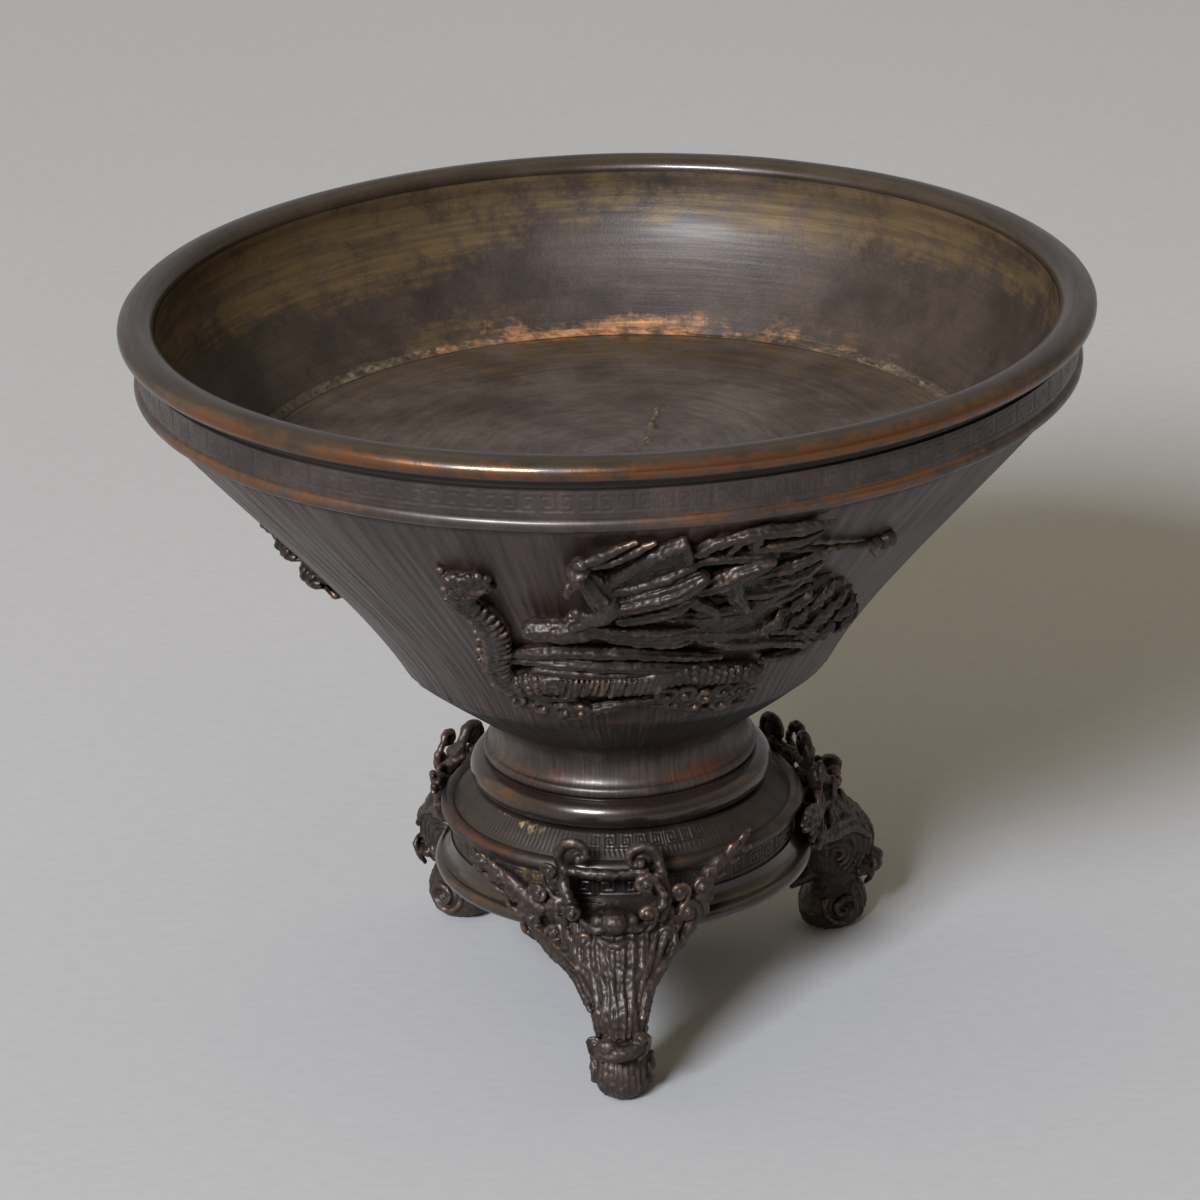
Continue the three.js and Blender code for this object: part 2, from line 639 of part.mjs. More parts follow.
/** A point above the bowl's wall: grid steps along it, its share of the wall's rise, and its lift. */
function wallPoint(along, share, lift) {
  const step = 0.01;
  const slope = (wallRadius(share + step) - wallRadius(share - step)) / (2 * step * WALL_RISE);
  const normal = Math.hypot(1, slope);
  const turn = wallTurn(along, share);
  const radius = wallRadius(share) + lift / normal;
  const height = bellyHeight + WALL_RISE * share - (lift * slope) / normal;
  return new THREE.Vector3(radius * Math.sin(turn), -radius * Math.cos(turn), height);
}

/** A bar laid along the wall through [along, share] stops, its radii grown by a clearance. */
function wallBar(stops, radii, clearance, options) {
  const points = stops.map(([along, share]) => wallPoint(along, share, RELIEF_LIFT));
  return taperedBar(points, radii.map((radius) => radius + clearance), options);
}

/** A cushion on the wall: its half sizes run along the wall and up it, and its height out of it. */
function wallPad([along, share], [halfWidth, halfRise, out], clearance) {
  const foot = wallPoint(along, share, -RELIEF_LIFT);
  const height = wallPoint(along, share, 1 - RELIEF_LIFT).sub(foot);
  const turn = wallTurn(along, share);
  const level = new THREE.Vector3(Math.cos(turn), Math.sin(turn), 0);
  const frame = new THREE.Matrix4().makeBasis(level, height.clone().cross(level), height).setPosition(foot);
  return new THREE.CylinderGeometry(0.72, 1, 1, CUSHION_SIDES)
    .rotateX(Math.PI / 2)
    .translate(0, 0, 0.5)
    .scale(halfWidth + clearance, halfRise + clearance, RELIEF_LIFT + out + clearance)
    .applyMatrix4(frame);
}

/** Bars and cushions of one casting, whose sizes are shares of its half thickness. */
function reliefTools(half, clearance) {
  const sized = (shares) => shares.map((share) => share * half);
  return {
    bar: (stops, shares, options) => wallBar(stops, sized(shares), clearance, options),
    pad: (place, shares) => wallPad(place, sized(shares), clearance),
  };
}

/** The scaly beast: a tail that rises on the left, a coiled body, a lifted head, and swells in the coil. */
function beastForms(clearance = 0) {
  const { bar } = reliefTools(BEAST_GIRTH / 2, clearance);
  const coil = bar(
    [
      [-30.5, 0.765], [-35, 0.745], [-33.5, 0.665], [-28.5, 0.58], [-26, 0.5], [-26, 0.4], [-25, 0.31],
      [-22, 0.24], [-14.5, 0.2], [-3.5, 0.19], [5.5, 0.195], [14.5, 0.215], [23.5, 0.255], [30.5, 0.32],
    ],
    [0.4, 0.7, 0.85, 0.9, 0.95, 1, 1, 0.95],
    { sides: 7, steps: 16 },
  );
  const neck = bar(
    [[30.5, 0.32], [31.5, 0.39], [20.5, 0.44], [8, 0.478], [-1.5, 0.505], [-9, 0.525], [-18, 0.525]],
    [0.9, 0.9, 0.9, 0.85, 0.95, 0.55],
    { sides: 7, steps: 9 },
  );
  const swells = [
    bar([[-25, 0.33], [-9, 0.36], [5, 0.355], [16, 0.33], [29, 0.3]], [0.3, 0.4, 0.4, 0.3], { steps: 4 }),
    bar([[-24, 0.28], [-7.5, 0.3], [9.5, 0.28], [22, 0.25]], [0.3, 0.4, 0.4, 0.3], { steps: 4 }),
  ];
  return join([coil, neck, ...swells]);
}

/** The robed rider leaning back on the beast, with a streaming scarf, a staff and its gourd. */
function riderForms(clearance = 0) {
  const { bar, pad } = reliefTools(RIDER_GIRTH / 2, clearance);
  const staffRadius = STAFF_THICKNESS / 2;
  const head = wallPad([-4.5, 0.795], [HEAD_RADIUS * 0.9, HEAD_RADIUS * 1.1, HEAD_RADIUS * 1.6], clearance);
  const staff = wallBar(
    [[13, 0.82], [47, 0.83], [69, 0.75]],
    [staffRadius, staffRadius],
    clearance,
    { steps: 3 },
  );
  const gourd = wallPad([69.5, 0.745], [GOURD_RADIUS, GOURD_RADIUS, GOURD_RADIUS * 1.5], clearance);
  return join([
    head,
    bar([[-4.5, 0.83], [2, 0.9], [8.5, 0.94]], [0.42, 0.32, 0.2], { steps: 2 }),
    bar([[-2, 0.77], [2.5, 0.68], [8, 0.62]], [0.7, 0.75, 0.55], { sides: 6, steps: 2 }),
    bar([[3.5, 0.69], [-5, 0.62]], [0.42, 0.28]),
    bar([[-1.5, 0.76], [9, 0.79], [19, 0.79]], [0.7, 0.8, 0.5], { sides: 6, steps: 2 }),
    pad([11, 0.815], [1.7, 1.4, 0.6]),
    pad([17, 0.69], [2.3, 1.4, 0.8]),
    bar([[3.5, 0.66], [13.5, 0.7], [24, 0.75]], [0.55, 0.6, 0.5], { sides: 6, steps: 2 }),
    bar([[20, 0.69], [29, 0.75], [39, 0.79]], [0.55, 0.6, 0.3], { sides: 6, steps: 2 }),
    bar([[27, 0.73], [28.5, 0.64], [32, 0.565]], [0.55, 0.45, 0.3], { steps: 2 }),
    pad([34, 0.68], [1.8, 1.5, 0.5]),
    bar(
      [[12, 0.84], [26.5, 0.92], [38.5, 0.935], [50, 0.93], [60, 0.94]],
      [0.4, 0.42, 0.35, 0.18],
      { steps: 5 },
    ),
    staff,
    gourd,
  ]);
}

/** The waves: a swell under the beast, curling crests on the right, and a bank of spray above them. */
function waveForms() {
  const { bar, pad } = reliefTools(WAVE_THICKNESS / 2, 0);
  return join([
    bar(
      [[-23.5, 0.1], [-13, 0.065], [-1, 0.08], [10.5, 0.1], [20.5, 0.09], [34.5, 0.08]],
      [0.6, 0.9, 1, 1.1, 1, 0.6],
      { steps: 8 },
    ),
    pad([14.5, 0.1], [3, 1.8, 1.1]),
    pad([25, 0.1], [3.4, 2.2, 1.2]),
    bar([[30, 0.1], [39, 0.2], [46, 0.3], [51, 0.4]], [1, 1.1, 1.2, 1.2], { steps: 3 }),
    pad([46.5, 0.57], [3.2, 3.2, 1.2]),
    pad([54, 0.5], [3.6, 3.6, 1.3]),
    pad([56, 0.4], [3.4, 3.2, 1.2]),
    pad([47, 0.42], [2.8, 3.2, 1.2]),
    bar([[48, 0.34], [58, 0.32], [65, 0.37]], [1, 0.9, 0.5], { steps: 2 }),
    bar([[45, 0.61], [53, 0.625], [60, 0.56], [65.5, 0.45]], [1, 1, 0.9, 0.6], { steps: 3 }),
  ]);
}

/** The relief castings of one panel, each cut to the wall and to its neighbours. */
function reliefPanel() {
  const outward = 1 / Math.cos(Math.PI / BOWL_FACETS);
  const grown = [...offset(outside, -BRAZE_GAP), [wallTopRadius + BRAZE_GAP, wallTop + RIM_UPRIGHT]];
  const wall = solidOf(turned([
    [0, bowlBottom - WALL_THICKNESS],
    [NECK_TOP_RADIUS, bowlBottom - WALL_THICKNESS],
    ...grown.map(([radius, height]) => [radius * outward, height]),
    [0, wallTop + RIM_UPRIGHT],
  ], BOWL_FACETS));
  const beast = beastForms();
  const rider = riderForms().subtract(beastForms(BRAZE_GAP));
  const waves = waveForms().subtract(beastForms(BRAZE_GAP)).subtract(riderForms(BRAZE_GAP));
  return { beast, rider, waves, wall };
}

const LEGS = [
  ['front', FRONT_LEG_AZIMUTH],
  ['right', RIGHT_LEG_AZIMUTH],
  ['left', LEFT_LEG_AZIMUTH],
];
const RELIEFS = [
  ['front', FRONT_RELIEF_AZIMUTH],
  ['right', RIGHT_RELIEF_AZIMUTH],
  ['left', LEFT_RELIEF_AZIMUTH],
];

/** A named piece in a finish of its own. */
function piece(name, geometry, finish) {
  const mesh = new THREE.Mesh(geometry, new THREE.MeshStandardMaterial(finish));
  mesh.name = name;
  return mesh;
}

/** The whole bowl. */
function tripodBowl() {
  const bowl = new THREE.Group();
  bowl.add(
    piece('lip_ring', lipRing(), RUBBED_COPPER),
    piece('collar_band', collarBand(), CAST_BROWN),
    piece('bowl_wall', bowlWall(), CAST_BROWN),
    piece('floor_disc', floorDisc(), INNER_BROWN),
    piece('floor_solder_seam', floorSolderSeam(), SOLDER_GREY),
    piece('neck_stem', neckStem(), CAST_BROWN),
    piece('foot_ring', footRing(), RUBBED_COPPER),
    piece('platform', platform(), CAST_BROWN),
    piece('fret_drum', fretDrum(), CAST_BROWN),
    piece('skirt_ring', skirtRing(), RUBBED_COPPER),
  );
  const leg = scrollLeg();
  for (const [place, azimuth] of LEGS) {
    const mesh = piece(`leg_${place}`, leg, CAST_BROWN);
    mesh.rotation.z = radians(azimuth);
    bowl.add(mesh);
  }
  const { wall, ...castings } = reliefPanel();
  for (const [subject, solid] of Object.entries(castings)) {
    const geometry = geometryOf(solid.subtract(wall));
    for (const [place, azimuth] of RELIEFS) {
      const mesh = piece(`relief_${subject}_${place}`, geometry, RELIEF_BROWN);
      mesh.rotation.z = radians(azimuth);
      bowl.add(mesh);
    }
  }
  return bowl;
}

export default tripodBowl();
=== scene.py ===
"""Looks of a bronze footed bowl: turned castings, applied relief and scroll legs."""
import logging
import math
from collections.abc import Sequence
from dataclasses import dataclass, field
from enum import Enum
from functools import cache, reduce

import bpy
import numpy as np
from mathutils import Matrix, Vector


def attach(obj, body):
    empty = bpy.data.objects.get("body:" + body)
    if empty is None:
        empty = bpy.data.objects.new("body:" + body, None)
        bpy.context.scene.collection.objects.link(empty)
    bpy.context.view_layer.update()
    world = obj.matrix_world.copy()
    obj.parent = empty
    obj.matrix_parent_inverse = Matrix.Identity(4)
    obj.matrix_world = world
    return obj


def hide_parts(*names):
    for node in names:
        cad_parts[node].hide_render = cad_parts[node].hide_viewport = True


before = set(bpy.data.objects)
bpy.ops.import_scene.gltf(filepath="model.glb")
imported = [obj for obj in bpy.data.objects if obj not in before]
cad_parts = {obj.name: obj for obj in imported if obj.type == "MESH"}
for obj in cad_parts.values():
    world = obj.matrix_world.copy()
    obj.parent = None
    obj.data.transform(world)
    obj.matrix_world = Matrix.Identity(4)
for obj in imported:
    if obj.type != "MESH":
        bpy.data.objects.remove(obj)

Point = tuple[float, float]
Triple = tuple[float, float, float]
Material = bpy.types.Material
Socket = bpy.types.NodeSocket

MM = 0.001
CREASE_DEGREES = 50.0
LOG = logging.getLogger("footed_bowl")


def smooth(low: float, high: float, value: np.ndarray) -> np.ndarray:
    """Eases a value from 0 at low to 1 at high."""
    share = np.clip((value - low) / (high - low), 0.0, 1.0)
    return share * share * (3.0 - 2.0 * share)


def unit(vectors: np.ndarray) -> np.ndarray:
    """The vectors at length 1."""
    return vectors / np.maximum(np.linalg.norm(vectors, axis=-1, keepdims=True), 1e-12)


def lattice_noise(turns: np.ndarray, rows: np.ndarray, columns: int, count: int, seed: int) -> np.ndarray:
    """Smooth random values that close on themselves after one turn.

    Args:
        turns: Place round the axis, one unit per turn.
        rows: Place across, from 0 to 1.
        columns: Random values in one turn.
        count: Random values across.
        seed: Start of the random sequence.

    Returns:
        Values from -1 to 1, in the broadcast shape of turns and rows.
    """
    grid = np.random.default_rng(seed).uniform(-1.0, 1.0, (columns, count + 2))
    across = np.clip(rows, 0.0, 1.0) * count
    along = turns * columns
    i, j = np.floor(along).astype(int), np.floor(across).astype(int)
    fu, fv = smooth(0.0, 1.0, along - i), smooth(0.0, 1.0, across - j)
    i0, i1 = i % columns, (i + 1) % columns
    near = grid[i0, j] * (1 - fu) + grid[i1, j] * fu
    far = grid[i0, j + 1] * (1 - fu) + grid[i1, j + 1] * fu
    return near * (1 - fv) + far * fv


def bezier(stops: Sequence[Point], count: int) -> np.ndarray:
    """Points on a quadratic or cubic curve.

    Args:
        stops: The curve's ends, with its handles between them.
        count: Number of points.

    Returns:
        The points from end to end.
    """
    share = np.linspace(0.0, 1.0, count)[:, None]
    order = len(stops) - 1
    weights = [math.comb(order, k) * share**k * (1 - share) ** (order - k) for k in range(order + 1)]
    return sum(weight * np.asarray(stop, float) for weight, stop in zip(weights, stops))


def spline(stops: np.ndarray, place: np.ndarray) -> np.ndarray:
    """Points on a smooth curve through stops.

    Args:
        stops: Points that the curve passes through.
        place: Places along the curve, with one unit for each stop.

    Returns:
        The points at the places.
    """
    first, last = 2 * stops[0] - stops[1], 2 * stops[-1] - stops[-2]
    knots = np.concatenate([first[None], stops, last[None]])
    i = np.clip(np.floor(place).astype(int), 0, len(stops) - 2)
    t = (place - i)[:, None]
    a, b, c, d = knots[i], knots[i + 1], knots[i + 2], knots[i + 3]
    return 0.5 * (2 * b + (c - a) * t + (2 * a - 5 * b + 4 * c - d) * t**2 + (3 * b - a - 3 * c + d) * t**3)


def arc(centre: Point, half: Point, start: float, end: float, count: int) -> np.ndarray:
    """Points on an ellipse's arc, with angles in degrees from the outward direction."""
    angle = np.radians(np.linspace(start, end, count))
    return np.stack([centre[0] + half[0] * np.cos(angle), centre[1] + half[1] * np.sin(angle)], 1)


def line(start: Point, end: Point, count: int) -> np.ndarray:
    """Evenly spaced points on a straight line."""
    return np.linspace(np.asarray(start, float), np.asarray(end, float), count)


def all_round(steps: int) -> np.ndarray:
    """A column of places round the axis, one unit per turn."""
    return (np.arange(steps) / steps)[:, None]


def beside(turns: np.ndarray, azimuth: float, width: float) -> np.ndarray:
    """A soft patch round an azimuth: 1 in its middle, fading over a width in degrees."""
    return np.exp(-((((turns * 360.0 - azimuth + 180.0) % 360.0) - 180.0) / width) ** 2)


def direction(azimuth: float, elevation: float) -> Vector:
    """The way out from the bowl at an azimuth and elevation in degrees."""
    turn, rise = math.radians(azimuth), math.radians(elevation)
    return Vector((math.cos(rise) * math.sin(turn), -math.cos(rise) * math.cos(turn), math.sin(rise)))


def key_fret(cells: np.ndarray, across: np.ndarray) -> np.ndarray:
    """Raised lines of a square key pattern.

    Args:
        cells: Place along the band, one unit per key.
        across: Place across the band, from 0 to 1.

    Returns:
        1 on a line and 0 in the ground between lines.
    """
    x = np.where(np.floor(cells) % 2 == 0, cells % 1.0, 1.0 - cells % 1.0) * 8.0
    y = across * 8.0
    bends = [(0.3, 0.5), (7.3, 0.5), (7.3, 7.4), (1.8, 7.4), (1.8, 2.3),
             (5.5, 2.3), (5.5, 5.6), (3.5, 5.6), (3.5, 4.0)]
    gap = np.full(np.broadcast(x, y).shape, 9.0)
    for (x0, y0), (x1, y1) in zip(bends, bends[1:]):
        dx = np.maximum(np.maximum(min(x0, x1) - x, x - max(x0, x1)), 0.0)
        dy = np.maximum(np.maximum(min(y0, y1) - y, y - max(y0, y1)), 0.0)
        gap = np.minimum(gap, np.hypot(dx, dy))
    return 1.0 - smooth(0.35, 0.85, gap)


@dataclass
class Surface:
    """Points in millimetres, with the faces, masks and finishes of one piece."""

    points: np.ndarray
    faces: list[np.ndarray]
    masks: dict[str, np.ndarray] = field(default_factory=dict)
    finish_of_face: np.ndarray | None = None

    def normals(self) -> np.ndarray:
        """Unit normals at the points.

        Returns:
            The mean direction of the faces round each point.
        """
        total = np.zeros_like(self.points)
        for faces in self.faces:
            corner = self.points[faces]
            across = np.cross(corner[:, 2] - corner[:, 0], corner[:, -1] - corner[:, 1])
            if faces.shape[1] == 3:
                across = np.cross(corner[:, 1] - corner[:, 0], corner[:, 2] - corner[:, 0])
            for k in range(faces.shape[1]):
                np.add.at(total, faces[:, k], across)
        return unit(total)

    def links(self) -> np.ndarray:
        """Neighbouring points.

        Returns:
            Each pair of neighbours, both ways round.
        """
        pairs = [np.stack([faces, np.roll(faces, -1, axis=1)], 2).reshape(-1, 2) for faces in self.faces]
        both = np.concatenate(pairs)
        return np.unique(np.concatenate([both, both[:, ::-1]]), axis=0)

    def relaxed(self, values: np.ndarray, links: np.ndarray, weight: float) -> np.ndarray:
        """Evens out values over the surface.

        Args:
            values: One value or vector for each point.
            links: Pairs of neighbours.
            weight: How far a value moves towards the mean of its neighbours.

        Returns:
            The moved values.
        """
        total = np.zeros_like(values)
        np.add.at(total, links[:, 0], values[links[:, 1]])
        count = np.bincount(links[:, 0], minlength=len(values)).clip(1)
        mean = total / (count[:, None] if values.ndim == 2 else count)
        return values + weight * (mean - values)

    def paint(self, **masks: np.ndarray) -> None:
        """Paints masks on the points, repeating those that are given for one section alone."""
        for name, values in masks.items():
            self.masks[name] = np.resize(values, len(self.points))

    def paint_hollows(self, reach: int, gain: float, soil: float) -> None:
        """Paints wear on ridges and grime in hollows.

        Args:
            reach: Rounds of spreading, so how broad a ridge counts.
            gain: How strongly the height over the neighbourhood shows.
            soil: Grime on ground that is neither ridge nor hollow.
        """
        links = self.links()
        broad = self.points
        for _ in range(reach):
            broad = self.relaxed(broad, links, 0.9)
        height = ((self.points - broad) * self.normals()).sum(1)
        for _ in range(2):
            height = self.relaxed(height, links, 0.5)
        self.paint(wear=np.clip(height * gain, 0.0, 1.0), grime=np.clip(soil - height * gain, 0.0, 1.0))

    def hammer(self, amount: float, size: float, seed: int) -> None:
        """Moves the points in and out by smooth noise, as tool marks and casting flaws do.

        Args:
            amount: Greatest movement in millimetres.
            size: Size of one mark in millimetres.
            seed: Which of the endless patterns is used.
        """
        count = 24
        cells = np.random.default_rng(seed).uniform(-1, 1, (count, count, count))
        place = self.points / size
        corner = np.floor(place).astype(int)
        part = smooth(0.0, 1.0, place - corner)
        total = np.zeros(len(place))
        for step in np.ndindex(2, 2, 2):
            weight = np.prod(np.where(step, part, 1 - part), axis=1)
            i, j, k = ((corner + step) % count).T
            total += weight * cells[i, j, k]
        self.points = self.points + amount * total[:, None] * self.normals()

    def cleared(self, least: int) -> "Surface":
        """The surface without the loose crumbs that fusing leaves.

        Args:
            least: Fewest points of a shell that is kept.

        Returns:
            The large shells.
        """
        links = self.links()
        label, lower = None, np.arange(len(self.points))
        while not np.array_equal(label, lower):
            label = lower
            lower = label.copy()
            np.minimum.at(lower, links[:, 0], label[links[:, 1]])
            lower = lower[lower]
        kept = np.bincount(label, minlength=len(label))[label] >= least
        place = np.cumsum(kept) - 1
        return Surface(self.points[kept], [place[faces[kept[faces[:, 0]]]] for faces in self.faces])

    def turned_by(self, degrees: float) -> "Surface":
        """The same surface at another place round the bowl.

        Args:
            degrees: How far it is turned round the bowl's axis.

        Returns:
            The turned surface, with the same faces and masks.
        """
        angle = math.radians(degrees)
        cos, sin = math.cos(angle), math.sin(angle)
        spin = np.array([[cos, -sin, 0], [sin, cos, 0], [0, 0, 1]])
        return Surface(self.points @ spin.T, self.faces, self.masks, self.finish_of_face)

    def build(self, name: str, materials: Sequence[Material]) -> bpy.types.Object:
        """Makes the Blender object.

        Args:
            name: Name of the object.
            materials: Finishes that finish_of_face chooses from.

        Returns:
            The object, linked to the scene, in metres.
        """
        mesh = bpy.data.meshes.new(name)
        mesh.vertices.add(len(self.points))
        mesh.vertices.foreach_set("co", (self.points * MM).astype(np.float32).ravel())
        loops = np.concatenate([faces.ravel() for faces in self.faces])
        sizes = np.concatenate([np.full(len(faces), faces.shape[1]) for faces in self.faces])
        mesh.loops.add(len(loops))
        mesh.loops.foreach_set("vertex_index", loops.astype(np.int32))
        mesh.polygons.add(len(sizes))
        mesh.polygons.foreach_set("loop_start", (np.cumsum(sizes) - sizes).astype(np.int32))
        if self.finish_of_face is not None:
            mesh.polygons.foreach_set("material_index", self.finish_of_face.astype(np.int32))
        mesh.update(calc_edges=True)
        mesh.polygons.foreach_set("use_smooth", np.ones(len(sizes), bool))
        mesh.set_sharp_from_angle(angle=math.radians(CREASE_DEGREES))
        for mask, values in self.masks.items():
            layer = mesh.attributes.new(mask, "FLOAT", "POINT")
            layer.data.foreach_set("value", values.astype(np.float32))
        for material in materials:
            mesh.materials.append(material)
        piece = bpy.data.objects.new(name, mesh)
        bpy.context.scene.collection.objects.link(piece)
        return piece


class Section:
    """A closed turning section, made of named stretches of radius and height."""

    def __init__(self) -> None:
        """Starts with no stretches."""
        self.points: np.ndarray = np.zeros((0, 2))
        self.names: list[str] = []
        self.share: np.ndarray = np.zeros(0)

    def run(self, name: str, points: np.ndarray) -> None:
        """Adds a stretch.

        Args:
            name: Name of the stretch.
            points: Its points, of which a first one that repeats the section's last is left out.
        """
        start = int(len(self.points) > 0 and np.linalg.norm(self.points[-1] - points[0]) < 1e-6)
        self.points = np.vstack([self.points, points[start:]])
        self.share = np.concatenate([self.share, np.linspace(0.0, 1.0, len(points))[start:]])
        self.names += [name] * (len(points) - start)

    def to(self, name: str, end: Point, count: int) -> None:
        """Adds a straight stretch from the last point to an end."""
        self.run(name, line(self.points[-1], end, count))

    def close(self, name: str, count: int) -> None:
        """Adds the straight stretch that leads back to the first point."""
        self.run(name, line(self.points[-1], self.points[0], count)[:-1])

    def on(self, name: str) -> np.ndarray:
        """1 on the points of a stretch and 0 elsewhere."""
        return np.array([float(other == name) for other in self.names])

    def noise(self, turns: np.ndarray, columns: int, count: int, seed: int) -> np.ndarray:
        """Smooth random values round the axis and along each stretch."""
        return lattice_noise(turns, self.share, columns, count, seed)

    def turned(self, turns: np.ndarray, relief: np.ndarray) -> Surface:
        """Turns the section round the axis.

        Args:
            turns: Column of places round the axis, one for each facet.
            relief: Height over the section at each place.

        Returns:
            The closed surface, with points ordered by turn and then along the section.
        """
        along = np.roll(self.points, -1, axis=0) - np.roll(self.points, 1, axis=0)
        out = unit(np.stack([along[:, 1], -along[:, 0]], 1))
        radius = self.points[:, 0] + out[:, 0] * relief
        level = self.points[:, 1] + out[:, 1] * relief
        angle = 2 * np.pi * turns
        points = np.stack([radius * np.sin(angle), -radius * np.cos(angle), level], 2).reshape(-1, 3)
        steps, count = relief.shape
        i, k = np.meshgrid(np.arange(steps), np.arange(count), indexing="ij")
        i1, k1 = (i + 1) % steps, (k + 1) % count
        faces = np.stack([i * count + k, i1 * count + k, i1 * count + k1, i * count + k1], 2).reshape(-1, 4)
        return Surface(points, [faces])


class NodeSketch:
    """A material's node tree, built from short calls."""

    def __init__(self, name: str) -> None:
        """Starts a material that ends in one principled shader.

        Args:
            name: Name of the material.
        """
        self.material = bpy.data.materials.new(name)
        self.material.use_nodes = True
        self.tree = self.material.node_tree
        self.tree.nodes.clear()
        self.shader = self.tree.nodes.new("ShaderNodeBsdfPrincipled")
        output = self.tree.nodes.new("ShaderNodeOutputMaterial")
        self.tree.links.new(self.shader.outputs["BSDF"], output.inputs["Surface"])
        self.place = self.tree.nodes.new("ShaderNodeTexCoord").outputs["Object"]

    def feed(self, socket: Socket, value: object) -> None:
        """Links a socket to another, or sets its constant.

        Args:
            socket: Socket that is fed.
            value: Another socket, a number or the three parts of a colour.
        """
        if isinstance(value, Socket):
            self.tree.links.new(value, socket)
        else:
            socket.default_value = (*value, 1.0) if isinstance(value, tuple) else value

    def node(self, kind: str, inputs: dict[int | str, object], **options: object) -> bpy.types.Node:
        """Adds a node.

        Args:
            kind: Blender's name of the node, without its first part.
            inputs: What feeds its sockets, by number or name.
            options: Its settings.

        Returns:
            The node.
        """
        node = self.tree.nodes.new(f"ShaderNode{kind}")
        for name, value in options.items():
            setattr(node, name, value)
        for socket, value in inputs.items():
            self.feed(node.inputs[socket], value)
        return node

    def set(self, **values: object) -> None:
        """Feeds the shader's sockets, named with underscores for spaces."""
        for name, value in values.items():
            self.feed(self.shader.inputs[name.replace("_", " ")], value)

    def split(self) -> tuple[Socket, ...]:
        """The three parts of the place on the object."""
        return tuple(self.node("SeparateXYZ", {0: self.place}).outputs)

    def joined(self, *parts: object) -> Socket:
        """A vector from its three parts."""
        return self.node("CombineXYZ", dict(enumerate(parts))).outputs[0]

    def mask(self, name: str) -> Socket:
        """A mask painted on the points."""
        return self.node("Attribute", {}, attribute_name=name).outputs["Fac"]

    def math(self, operation: str, first: object, second: object = 0.0, clamp: bool = False) -> Socket:
        """One arithmetic step, which may stay between 0 and 1."""
        return self.node("Math", {0: first, 1: second}, operation=operation, use_clamp=clamp).outputs[0]

    def times(self, first: object, second: object) -> Socket:
        """The product of two values."""
        return self.math("MULTIPLY", first, second)

    def total(self, first: object, *rest: object, clamp: bool = False) -> Socket:
        """The sum of several values."""
        return reduce(lambda one, other: self.math("ADD", one, other, clamp), rest, first)

    def span(self, value: object, low: float, high: float, start: float = 0.0, end: float = 1.0) -> Socket:
        """Eases a value from start at low to end at high."""
        inputs = dict(enumerate((value, low, high, start, end)))
        return self.node("MapRange", inputs, interpolation_type="SMOOTHSTEP").outputs["Result"]

    def mix(self, share: object, first: object, second: object, blend: str = "MIX") -> Socket:
        """A colour between two others."""
        inputs = {0: share, 6: first, 7: second}
        return self.node("Mix", inputs, data_type="RGBA", blend_type=blend).outputs[2]

    def shaded(self, colour: object, shade: Socket) -> Socket:
        """A colour made lighter or darker by a factor."""
        gray = self.node("CombineColor", {0: shade, 1: shade, 2: shade}).outputs[0]
        return self.mix(1.0, colour, gray, "MULTIPLY")

    def bump(self, height: object, strength: float, distance: float) -> Socket:
        """A normal that follows a fine height, with its depth in metres."""
        inputs = {"Strength": strength, "Distance": distance, "Height": height}
        return self.node("Bump", inputs).outputs["Normal"]

    def noise(self, scale: float, detail: float, rough: float, place: Socket | None = None) -> Socket:
        """Cloudy values from 0 to 1, by default over the place on the object."""
        inputs = {"Vector": place or self.place, "Scale": scale, "Detail": detail, "Roughness": rough}
        return self.node("TexNoise", inputs).outputs["Fac"]

    def polar(self) -> tuple[Socket, ...]:
        """Takes the place on the object apart as seen from the axis.

        Returns:
            The direction from the axis as two parts, the distance from it and the height.
        """
        x, y, z = self.split()
        radius = self.math("SQRT", self.math("ADD", self.times(x, x), self.times(y, y)))
        safe = self.math("MAXIMUM", radius, 0.001)
        return self.math("DIVIDE", x, safe), self.math("DIVIDE", y, safe), radius, z

    def along_rings(self) -> Socket:
        """Makes coordinates for marks along turned rings.

        Returns:
            Coordinates in metres whose noise is drawn out round the axis.
        """
        drag, climb = 0.006, 0.8
        x, y, radius, z = self.polar()
        across = self.math("ADD", radius, self.times(z, climb))
        return self.joined(across, self.times(x, drag), self.times(y, drag))

    def along_meridians(self) -> Socket:
        """Makes coordinates for marks up and down the wall.

        Returns:
            Coordinates in metres whose noise is drawn out from neck to rim.
        """
        spread, drag = 0.09, 0.055
        x, y, _, z = self.polar()
        return self.joined(self.times(x, spread), self.times(y, spread), self.times(z, drag))


class Slot(Enum):
    """Material slots of the record."""

    CAST = "cast_bronze"
    RUBBED = "rubbed_bronze"
    BASIN = "basin_bronze"
    SOLDER = "solder"
    LEG = "leg_bronze"
    RELIEF = "relief_bronze"


class Stain(Enum):
    """Colours that age and handling leave on the bronze."""

    OCHRE = ("ochre", (0.088, 0.055, 0.0235))
    COPPER = ("copper", (0.30, 0.138, 0.062))
    PALE = ("pale", (0.15, 0.115, 0.072))
    BRASS = ("brass", (0.24, 0.17, 0.055))
    RED = ("red", (0.075, 0.024, 0.012))

    @property
    def mask(self) -> str:
        """Name of the painted mask."""
        return self.value[0]

    @property
    def colour(self) -> Triple:
        """Colour of the stain."""
        return self.value[1]


